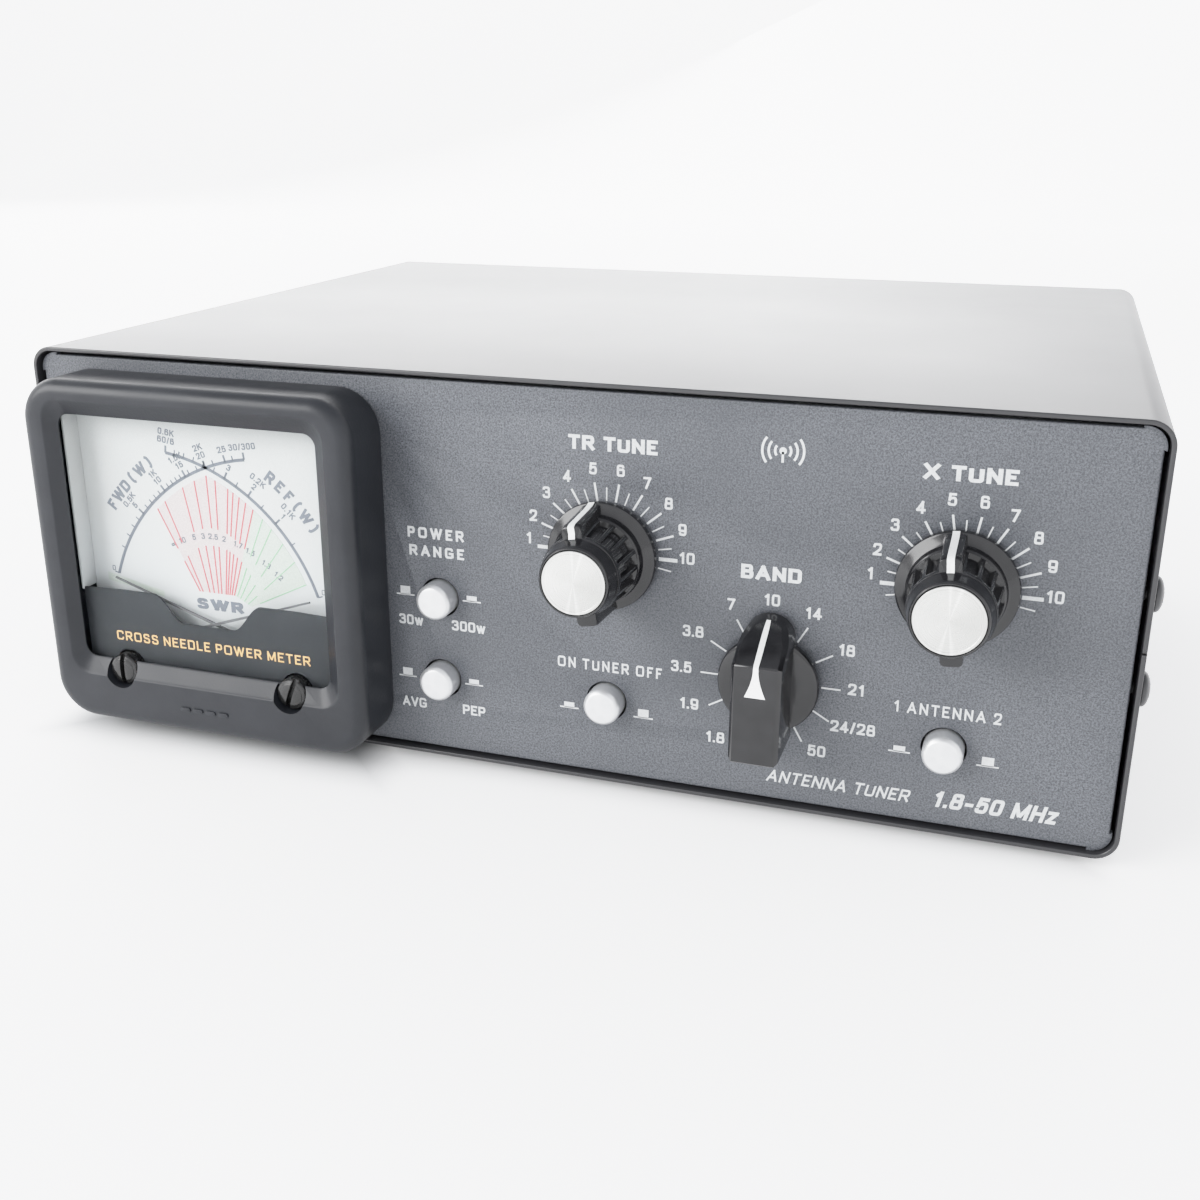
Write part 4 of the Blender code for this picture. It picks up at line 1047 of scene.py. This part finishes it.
# Upper ends of the fan's lines, from left to right.
REDS = [33.6, 35.8, 41.0, 44.3, 47.6, 49.9, 53.1, 54.4, 55.9, 57.5, 59.3]
GREENS = [61.6, 63.7, 66.4, 69.1, 71.7]
SWR_NUMBERS = {
    "o": 37.1, "10": 39.5, "5": 42.8, "3": 45.3, "2.5": 48.0, "2": 50.9,
    "1.7": 54.5, "1.5": 57.6, "1.3": 61.6, "1.2": 64.6,
}


def fan_top(x):
    """A point just under the scale on its side of the dial."""
    pivot = FORWARD if x < METER_X else REFLECTED
    return (x, pivot[1] + math.sqrt(44.3 ** 2 - (x - pivot[0]) ** 2))


def fan_foot(x):
    """Foot of the line whose top is at x."""
    foot_x = 43.1 + 0.36 * (x - REDS[0])
    return (foot_x, 35.1 - max(0.0, foot_x - 53.0) * 0.6)


def swr_height(x):
    """Height of the bent row of SWR numbers."""
    return 49.1 - (x - 47.6) ** 2 * 0.027


def fan_lines(tops, width):
    """Lines of the fan, each open where the row of numbers crosses it."""
    bm = bmesh.new()
    for x in tops:
        top, foot = fan_top(x), fan_foot(x)
        share = (swr_height(x) - foot[1]) / (top[1] - foot[1])
        for part in ((0.0, share - 0.08), (share + 0.07, 1.0)):
            if part[1] - part[0] < 0.05 or part[0] > 0.95:
                continue
            start, end = [
                (foot[0] + (top[0] - foot[0]) * s, foot[1] + (top[1] - foot[1]) * s) for s in part
            ]
            add_stroke(bm, start, end, width, y=DIAL_Y, lift=0.07)
    return bm


def dial_patch(name, outline, mat):
    """A printed area that lies under the lines on the dial."""
    bm = solid(prism, outline, DIAL_Y - 0.03, DIAL_Y + SUNK)
    make_piece(name, bm, mat, slot="dial_white")


def make_dial():
    cover_node("meter_dial", DIAL)
    bm = bmesh.new()
    dial_scale(bm, FORWARD, 30.0, 1, [*range(17), 18, 20, 22, 25, 27, 30],
               {5: ["5", "0.5K"], 10: ["10", "1K"], 15: ["15", "1.5K"], 20: ["20", "2K"],
                25: ["25"], 30: ["30/300"]})
    dial_scale(bm, REFLECTED, 6.0, -1, [half / 2 for half in range(13)],
               {1: ["1", "0.1K"], 2: ["2", "0.2K"], 3: ["3"], 6: ["60/6", "0.6K"]})
    for text, pivot, middle, step in (("FWD(W)", FORWARD, 135.2, -3.35),
                                      ("REF(W)", REFLECTED, 43.5, -3.2)):
        for i, letter in enumerate(text):
            angle = middle + step * (i - 2.5)
            centre = polar(math.radians(angle), ARC_R + 7.6, pivot)
            add_text(bm, letter, centre, 2.85, y=DIAL_Y, turn=angle - 90, bold=0.24)
    add_text(bm, "SWR", (48.2, 32.1), 2.7, 12.6, y=DIAL_Y, bold=0.27, gap=0.35)
    for label, x in SWR_NUMBERS.items():
        add_text(bm, label, (x, swr_height(x)), 1.4, y=DIAL_Y, bold=0.2, turn=-(x - 47.6) * 2.2, gap=0.2)
    for zero in ((19.4, 38.4), (76.0, 38.6)):
        add_text(bm, "0", zero, 1.3, y=DIAL_Y, bold=0.15)
    make_piece("dial_scales", bm, DIAL_INK, slot="dial_white")
    make_piece("dial_swr_red", fan_lines(REDS, 0.3), DIAL_RED, slot="dial_white")
    make_piece("dial_swr_green", fan_lines(GREENS, 0.24), DIAL_GREEN, slot="dial_white")
    for name, first, last, mat in (("red", REDS[0], REDS[-1], FAN_RED),
                                   ("green", REDS[-1], GREENS[-1], FAN_GREEN)):
        outline = [fan_top(first + (last - first) * i / 12) for i in range(13)]
        dial_patch(f"dial_fan_{name}", outline + [fan_foot(last), fan_foot(first)], mat)
    dial_patch("dial_foot_green", [(17.5, 37.2), (33.0, 34.0), (33.0, 32.6), (17.5, 35.2)], FAN_GREEN)
    bm = solid(box, (METER_X - 34.3, -8.8, 34.0), (METER_X - 33.7, DIAL_Y - 0.05, 79.0))
    make_piece("meter_side_liner", bm, DIAL, slot="dial_white", bevel=0.1)


def make_adjusters():
    for name, side, turn in (("left", -1, 0.0), ("right", 1, -20.0)):
        origin = (METER_X + side * ADJUSTER_X, 0.0, ADJUSTER_Z)
        profile = [(0.0, -12.25)]
        profile += [(2.9 * math.sin(t), -11.8 - 0.45 * math.cos(t)) for t in arc(20, 90, 6)]
        profile += [(3.45, -11.6), (3.7, -11.25), (3.7, -8.2), (1.5, -8.2), (1.5, -3.0), (0.0, -3.0)]
        screw = bare_object(f"zero_adjuster_{name}_screw", solid(turned, profile), origin)
        bm = solid(box, (-0.6, -13.0, -5.0), (0.6, -10.6, 5.0))
        bm.transform(turn_y(turn))
        carve(screw, bm, origin=origin)
        finish_piece(screw, ADJUSTER, f"zero_{name}", replaces=[f"zero_adjuster_{name}"],
                     slot="adjuster_black", angle=30, bevel=0.12)


# ---------------------------------------------------------------- controls

RIDGE_HALF, RIDGE_EDGE = 2.1, 0.8
POCKETS = 7
# One pocket, as (share of its pitch, share of its depth).
POCKET = ((0.13, 0.0), (0.19, 1.0), (0.36, 0.93), (0.64, 0.93), (0.81, 1.0), (0.87, 0.0))


def knob_ring(body, ridge, pocket):
    """Outline of the tuning knob at one depth: two ridges, and pockets between narrow ribs."""
    if ridge > body:
        near = math.sqrt(body * body - RIDGE_HALF ** 2)
        flank = [(-1.0, near), (-1.0, ridge - RIDGE_EDGE), (-0.885, ridge - 0.3 * RIDGE_EDGE),
                 (RIDGE_EDGE / RIDGE_HALF - 1.0, ridge)]
        crest = flank + [(0.0, ridge)] + [(-share, rho) for share, rho in flank[::-1]]
    else:
        shares = [i / 4 - 1.0 for i in range(9)]
        crest = [(share, math.sqrt(body * body - (share * RIDGE_HALF) ** 2)) for share in shares]
    half_ridge = math.asin(RIDGE_HALF / body)
    pitch = (math.pi - 2 * half_ridge) / POCKETS
    points = []
    for base in (0.0, math.pi):
        for share, rho in crest:
            tau = share * RIDGE_HALF
            points.append((rho * math.cos(base) - tau * math.sin(base),
                           rho * math.sin(base) + tau * math.cos(base)))
        for k in range(POCKETS):
            start = base + half_ridge + k * pitch
            points += [polar(start + share * pitch, body - pocket * dip) for share, dip in POCKET]
            if k < POCKETS - 1:
                points.append(polar(start + pitch, body))
    return points


def make_tuning_knob(name, x, z, pointer):
    """Skirted knob with ridges, flutes and a white line along the pointer ridge."""
    origin = (x, 0.0, z)
    body_name = f"{name}_control"
    stations = [
        (11.6, 0.0, 0.0, 0.7), (12.0, 0.0, 0.0, 0.4), (12.0, 0.0, 0.0, -0.5),
        (11.85, 0.0, 0.0, -0.85), (11.5, 0.0, 0.0, -1.05), (10.4, 11.7, 0.0, -1.45),
        (9.75, 11.6, 0.0, -1.9), (9.5, 11.5, 0.0, -2.6), (9.5, 11.45, 0.0, -3.6),
        (9.4, 11.42, 0.0, -3.7), (9.2, 11.4, 0.0, -3.85), (9.1, 11.4, 0.0, -4.0), (9.08, 11.4, 1.1, -4.1),
        (8.95, 11.25, 1.1, -7.0), (8.65, 11.05, 1.0, -11.0), (8.5, 10.95, 0.9, -13.2),
        (8.47, 10.9, 0.0, -13.35), (8.35, 10.6, 0.0, -14.4), (8.3, 10.4, 0.0, -14.5),
        (8.25, 8.25, 0.0, -14.5), (8.0, 0.0, 0.0, -15.4), (7.7, 0.0, 0.0, -16.9),
        (7.5, 0.0, 0.0, -17.8), (7.4, 0.0, 0.0, -18.15), (7.2, 0.0, 0.0, -18.35),
        (7.0, 0.0, 0.0, -18.35), (6.9, 0.0, 0.0, -18.25), (6.9, 0.0, 0.0, -17.7),
    ]
    bm = solid(loft, [(knob_ring(body, ridge, pocket), y) for body, ridge, pocket, y in stations])
    bm.transform(turn_y(pointer))
    make_piece(f"{name}_knob_moulding", bm, KNOB, body_name, origin,
               replaces=[f"{name}_knob"], slot="knob_black", angle=30, bevel=0.09)
    path = [(11.95, -0.6), (11.72, -1.5), (11.45, -3.6), (11.25, -7.0), (11.05, -11.0),
            (10.93, -13.3), (10.65, -14.35), (10.45, -14.53), (9.2, -14.53), (8.15, -15.0)]
    bm = solid(add_ribbon, path, [0.7] * len(path), lift=0.06)
    bm.transform(turn_y(pointer))
    make_piece(f"{name}_knob_line", bm, WHITE_INK, body_name, origin, slot="knob_black")
    profile = [(0.0, -17.75), (6.7, -17.75), (6.75, -18.4), (6.65, -18.5), (6.2, -18.5), (6.15, -18.46),
               (6.0, -18.5), (0.0, -18.5)]
    make_piece(f"{name}_knob_disc", solid(turned, profile, 64), CAP, body_name, origin,
               replaces=[f"{name}_knob_cap"], slot="cap_aluminium", angle=30)


def add_ribbon(bm, path, halves, lift=0.05):
    """A painted line along (radius, depth) points, with half its width at each, just off the surface."""
    rings = []
    for i, ((radius, y), half) in enumerate(zip(path, halves)):
        before, after = path[max(i - 1, 0)], path[min(i + 1, len(path) - 1)]
        dr, dy = after[0] - before[0], after[1] - before[1]
        length = math.hypot(dr, dy)
        nr, ny = -dy / length, dr / length
        if nr < 0 and ny > 0 or nr < -0.5:
            nr, ny = -nr, -ny
        ring = []
        for off, across in ((lift, -half), (lift, half), (-lift, half), (-lift, -half)):
            ring.append(bm.verts.new((radius + nr * off, y + ny * off, across)))
        rings.append(ring)
    skin_all(bm, rings)


def clip(bm, normal, reach):
    """Cut away what lies beyond reach along a normal, and close the cut."""
    normal = Vector(normal)
    geom = bm.verts[:] + bm.edges[:] + bm.faces[:]
    point = normal * (reach / normal.length_squared)
    cut = bmesh.ops.bisect_plane(bm, geom=geom, dist=1e-4, plane_co=point, plane_no=normal,
                                 clear_outer=True)
    edges = [item for item in cut["geom_cut"] if isinstance(item, bmesh.types.BMEdge)]
    if edges:
        bmesh.ops.edgeloop_fill(bm, edges=edges)


def make_band_knob():
    """Bar knob: flat front with chamfered edges, sloped nose ending in a rounded tip, round skirt."""
    origin = (BAND_X, 0.0, BAND_Z)
    half, tail, shoulder, tip, front, chamfer = 5.15, -12.3, 10.9, 15.7, -14.0, 0.85
    side_view = [(0.5, tail), (front, tail), (front, 20.0), (0.5, 20.0)]
    bm = solid(prism, side_view, -half - 1.0, half + 1.0, "X")
    slope = Vector((0.0, -0.456, 0.89))
    slope_reach = slope.dot(Vector((0.0, front, 9.25)))
    ahead = Vector((0.0, -1.0, 0.0))
    clip(bm, slope, slope_reach)
    for t in arc(0, 180, 12):
        out = Vector((math.cos(t), 0.0, math.sin(t)))
        size = math.hypot(half * math.cos(t), (tip - shoulder) * math.sin(t))
        reach = size + shoulder * math.sin(t)
        clip(bm, out, reach)
        clip(bm, out + slope, reach + slope_reach - chamfer)
    for side in (-1.0, 1.0):
        clip(bm, (side, -1.0, 0.0), half - front - chamfer)
        clip(bm, (side, 0.0, -1.0), half - tail - chamfer)
    clip(bm, ahead + slope, slope_reach - front - 0.25)
    clip(bm, (0.0, -1.0, -1.0), -front - tail - 0.3)
    bar = bare_object("band_knob_moulding", bm, origin)
    profile = [(0.0, 0.7), (10.4, 0.7), (10.7, 0.4), (10.7, -0.5), (10.45, -0.9), (9.9, -1.15),
               (6.0, -1.35), (0.0, -1.35)]
    carve(bar, solid(turned, profile, 72), "UNION", origin)
    finish_piece(bar, KNOB, "band_control", replaces=["band_knob"], slot="knob_black", angle=22, bevel=0.13)

    path = [(15.15, -2.5), (14.6, -3.55), (14.0, -4.72), (13.0, -6.72), (12.0, -8.67), (11.0, -10.6),
            (10.0, -12.55), (9.4, -13.73)]
    path += [(radius, front) for radius in (9.1, 8.0, 6.6, 5.2, 3.9, 2.6)]
    halves = [0.42, 0.5, 0.56, 0.58, 0.58, 0.58, 0.56, 0.54, 0.52, 0.55, 0.75, 1.12, 1.6, 2.15]
    bm = solid(add_ribbon, path, halves)
    bm.transform(turn_y(90))
    make_piece("band_knob_line", bm, WHITE_INK, "band_control", origin, slot="knob_black")


def make_buttons():
    profile = [(0.0, -3.0), (1.6, -2.99), (2.9, -2.95), (3.35, -2.9), (3.5, -2.82), (3.98, -2.3),
               (4.1, -2.1), (4.15, -1.8), (4.15, 5.0), (1.9, 5.0), (1.9, 20.0), (0.0, 20.0)]
    for name, (x, z) in BUTTONS.items():
        make_piece(f"{name}_button_cap", solid(turned, profile, 64), SILVER, f"{name}_push",
                   (x, 0.0, z), replaces=[f"{name}_button"], slot="button_silver", angle=22)


# ---------------------------------------------------------------- rear

def make_rear():
    face = REAR_FACE + 0.3
    profile = [(0.0, -15.0), (1.8, -15.0), (1.8, -9.0), (7.6, -9.0), (7.6, 2.4)]
    for i in range(10):
        start = 2.6 + i * 1.06
        profile += [(7.35, start), (7.9, start + 0.35), (7.9, start + 0.55), (7.35, start + 0.9)]
    profile += [(7.5, 13.6), (7.3, 14.0), (6.5, 14.0), (6.3, 13.8), (6.3, 7.6), (0.0, 7.6)]
    shell = [(r, face + y) for r, y in profile]
    washer = [(1.9, 7.65), (6.0, 7.65), (6.0, 8.0), (2.4, 8.3), (1.9, 8.3)]
    washer = [(r, face + y) for r, y in washer]
    flange = rounded_rect((0.0, 0.0), (12.5, 12.5), 2.0, 6)
    for name, x in SOCKETS.items():
        origin = (x, 0.0, SOCKET_Z)
        socket = bare_object(f"{name}_shell", solid(turned, shell, 64), origin)
        carve(socket, solid(prism, flange, face, face + 2.0), "UNION", origin)
        finish_piece(socket, NICKEL, "chassis", replaces=[name], slot="nickel", angle=30, bevel=0.1)
        make_piece(f"{name}_insulator", solid(turned, washer, 40, closed=True), CERAMIC,
                   origin=origin, slot="wafer_ceramic")
    for node, mat in (("dc_jack", SWITCH_BLACK), ("ground_stud", NICKEL), ("ground_washer", NICKEL),
                      ("ground_wing_nut", NICKEL)):
        cover_node(node, mat)
    bm = bmesh.new()
    for text, x, z in (("TRANSCEIVER", 60.0, 66.0), ("ANTENNA 1", 112.0, 66.0),
                       ("ANTENNA 2", 164.0, 66.0), ("DC 12 V", 222.0, 73.0), ("GND", 222.0, 40.0)):
        part = solid(add_text, text, (0.0, 0.0), 2.6, y=0.0, bold=0.17, gap=0.5)
        part.transform(Matrix.Rotation(math.pi, 4, "Z"))
        part.transform(Matrix.Translation((x, REAR_FACE, z)))
        append(bm, part)
    make_piece("rear_legends", bm, LEGEND_INK, slot="panel_paint")


def finish_inside():
    """Finishes of the CAD nodes that keep their shape."""
    inside = {
        STEEL: ["control_bracket", "forward_movement", "reflected_movement", "band_switch_detent",
                "tr_tune_capacitor_frame", "x_tune_capacitor_frame"],
        ALUMINIUM: ["tr_tune_stator", "x_tune_stator"],
        BRASS: ["tr_tune_rotor", "x_tune_rotor", "band_switch_shaft"],
        CERAMIC: ["band_switch_wafer", "coil_former"],
        COPPER: ["tapped_coil"],
        BOARD: ["bridge_board"],
        METER_BLACK: ["meter_housing"],
        SWITCH_BLACK: [f"{name}_switch" for name in BUTTONS],
        NEEDLE: ["forward_needle", "reflected_needle"],
        RUBBER: ["foot_front_left", "foot_rear_left", "foot_front_right", "foot_rear_right"],
    }
    for mat, nodes in inside.items():
        for node in nodes:
            cover_node(node, mat)


# ---------------------------------------------------------------- stage, lights, camera

FLOOR_GLOW = 0.65
WHITE = 5.0
SHOULDER = ((0.1, 0.1), (0.25, 0.25), (0.5, 0.45), (0.8, 0.62), (1.2, 0.77), (1.6, 0.86), (2.0, 0.905),
            (2.6, 0.94), (3.4, 0.965))


def contact_shade(s, shade):
    """Painted contact shadow: the floor's own glow fades out and its colour darkens to grey under the case
    and under the meter frame.
    """
    def maths(operation, *values):
        return s.node("Math", dict(enumerate(values)), operation=operation).outputs["Value"]

    split = s.node("SeparateXYZ", {"Vector": s.coords})

    def outside(centre_x, centre_y, half_x, half_y):
        across = maths("ABSOLUTE", maths("SUBTRACT", split.outputs["X"], centre_x * MM))
        along = maths("ABSOLUTE", maths("SUBTRACT", split.outputs["Y"], centre_y * MM))
        across = maths("SUBTRACT", across, half_x * MM)
        return maths("MAXIMUM", across, maths("SUBTRACT", along, half_y * MM))

    case = outside(0.0, 0.0, CASE_W / 2 - 8.0, CASE_D / 2)
    meter = outside(METER_X - CASE_W / 2, -CASE_D / 2, 42.0, 13.0)
    fade = s.node("MapRange", {
        "Value": maths("MINIMUM", case, meter), "From Min": -0.012, "From Max": 0.01,
        "To Min": 0.0, "To Max": FLOOR_GLOW,
    }, interpolation_type="SMOOTHSTEP").outputs["Result"]
    s.link(fade, s.bsdf.inputs["Emission Strength"])
    # Painted shadow: where the glow fades, the floor's colour blends to dark grey.
    s.colour(s.blend(maths("DIVIDE", fade, FLOOR_GLOW), (0.3, 0.31, 0.32), shade))


def make_stage():
    s = Shader("pale_floor", (0.86, 0.86, 0.86), 0.6, Emission_Strength=FLOOR_GLOW,
               Emission_Color=(1.0, 1.0, 1.0, 1.0))
    contact_shade(s, s.ramp(s.noise(0.004, 3.0), [(0.3, (0.84, 0.84, 0.845)), (0.7, 0.88)]))
    bm = bmesh.new()
    size, rise, sweep = 3.0 / MM, 2.0 / MM, 0.6 / MM
    line = [(-size, 0.0), (size * 0.5, 0.0)]
    line += [(size * 0.5 + sweep * math.sin(t), sweep * (1 - math.cos(t))) for t in arc(0, 90, 12)[1:]]
    line.append((size * 0.5 + sweep, rise))
    rows = [[bm.verts.new((x, y, z)) for y, z in line] for x in (-size, size)]
    for i in range(len(line) - 1):
        bm.faces.new((rows[0][i], rows[1][i], rows[1][i + 1], rows[0][i + 1]))
    floor = add_mesh("floor", bm)
    floor.data.materials.append(s.mat)
    floor.data.shade_smooth()


def aim(obj, direction):
    obj.rotation_euler = direction.to_track_quat("-Z", "Y").to_euler()


def area_light(name, location, target, size, size_y, power):
    data = bpy.data.lights.new(name, "AREA")
    data.shape = "RECTANGLE"
    data.size = size
    data.size_y = size_y
    data.energy = power
    lamp = add_object(name, data)
    lamp.location = location
    aim(lamp, Vector(target) - Vector(location))
    lamp.visible_camera = False


def make_lights():
    world = bpy.data.worlds.new("studio")
    bpy.context.scene.world = world
    world.use_nodes = True
    background = world.node_tree.nodes["Background"]
    background.inputs["Strength"].default_value = 1.8
    tree = world.node_tree
    coords = tree.nodes.new("ShaderNodeTexCoord")
    split = tree.nodes.new("ShaderNodeSeparateXYZ")
    tree.links.new(coords.outputs["Generated"], split.inputs["Vector"])
    ramp = tree.nodes.new("ShaderNodeValToRGB")
    low, high = ramp.color_ramp.elements
    low.position, low.color = 0.45, (0.97, 0.98, 1.0, 1.0)
    high.position, high.color = 0.9, (0.42, 0.43, 0.46, 1.0)
    tree.links.new(split.outputs["Z"], ramp.inputs["Fac"])
    tree.links.new(ramp.outputs["Color"], background.inputs["Color"])
    area_light("key", (-1.2, -1.1, 0.75), (0.0, -0.05, 0.03), 1.3, 0.9, 34.0)
    area_light("back", (-0.95, 1.45, 0.75), (-0.15, 0.0, 0.05), 3.2, 1.1, 25.0)


def soften_highlights(view):
    """Photographic shoulder, so bright paper and floor keep a little tone."""
    view.use_curve_mapping = True
    mapping = view.curve_mapping
    mapping.white_level = (WHITE, WHITE, WHITE)
    curve = mapping.curves[3]
    for light, shown in SHOULDER:
        curve.points.new(light / WHITE, shown)
    mapping.update()


def make_camera():
    data = bpy.data.cameras.new("camera")
    data.sensor_width = 36.0
    data.lens = 40.73
    data.shift_x = 0.0133
    data.shift_y = -0.0213
    data.clip_start = 0.01
    camera = add_object("camera", data)
    camera.location = at(225.87, -259.62, 143.59)
    yaw, pitch = math.radians(18.84), math.radians(19.11)
    level = math.cos(pitch)
    aim(camera, Vector((-math.sin(yaw) * level, math.cos(yaw) * level, -math.sin(pitch))))
    bpy.context.scene.camera = camera


def main():
    scene = bpy.context.scene
    scene.view_settings.view_transform = "Standard"
    soften_highlights(scene.view_settings)
    make_covers()
    make_panel("front_panel_face", "front_panel", FACE, 1, front_holes)
    make_panel("rear_panel_face", "rear_panel", REAR_FACE, -1, rear_holes)
    make_cover_screws()
    make_legends()
    make_emblem()
    make_bezel()
    make_window()
    make_mask()
    make_dial()
    make_adjusters()
    make_tuning_knob("tr_tune", TR_X, TR_Z, TR_POINTER)
    make_tuning_knob("x_tune", X_X, X_Z, X_POINTER)
    make_band_knob()
    make_buttons()
    make_rear()
    finish_inside()
    make_stage()
    make_lights()
    make_camera()


main()
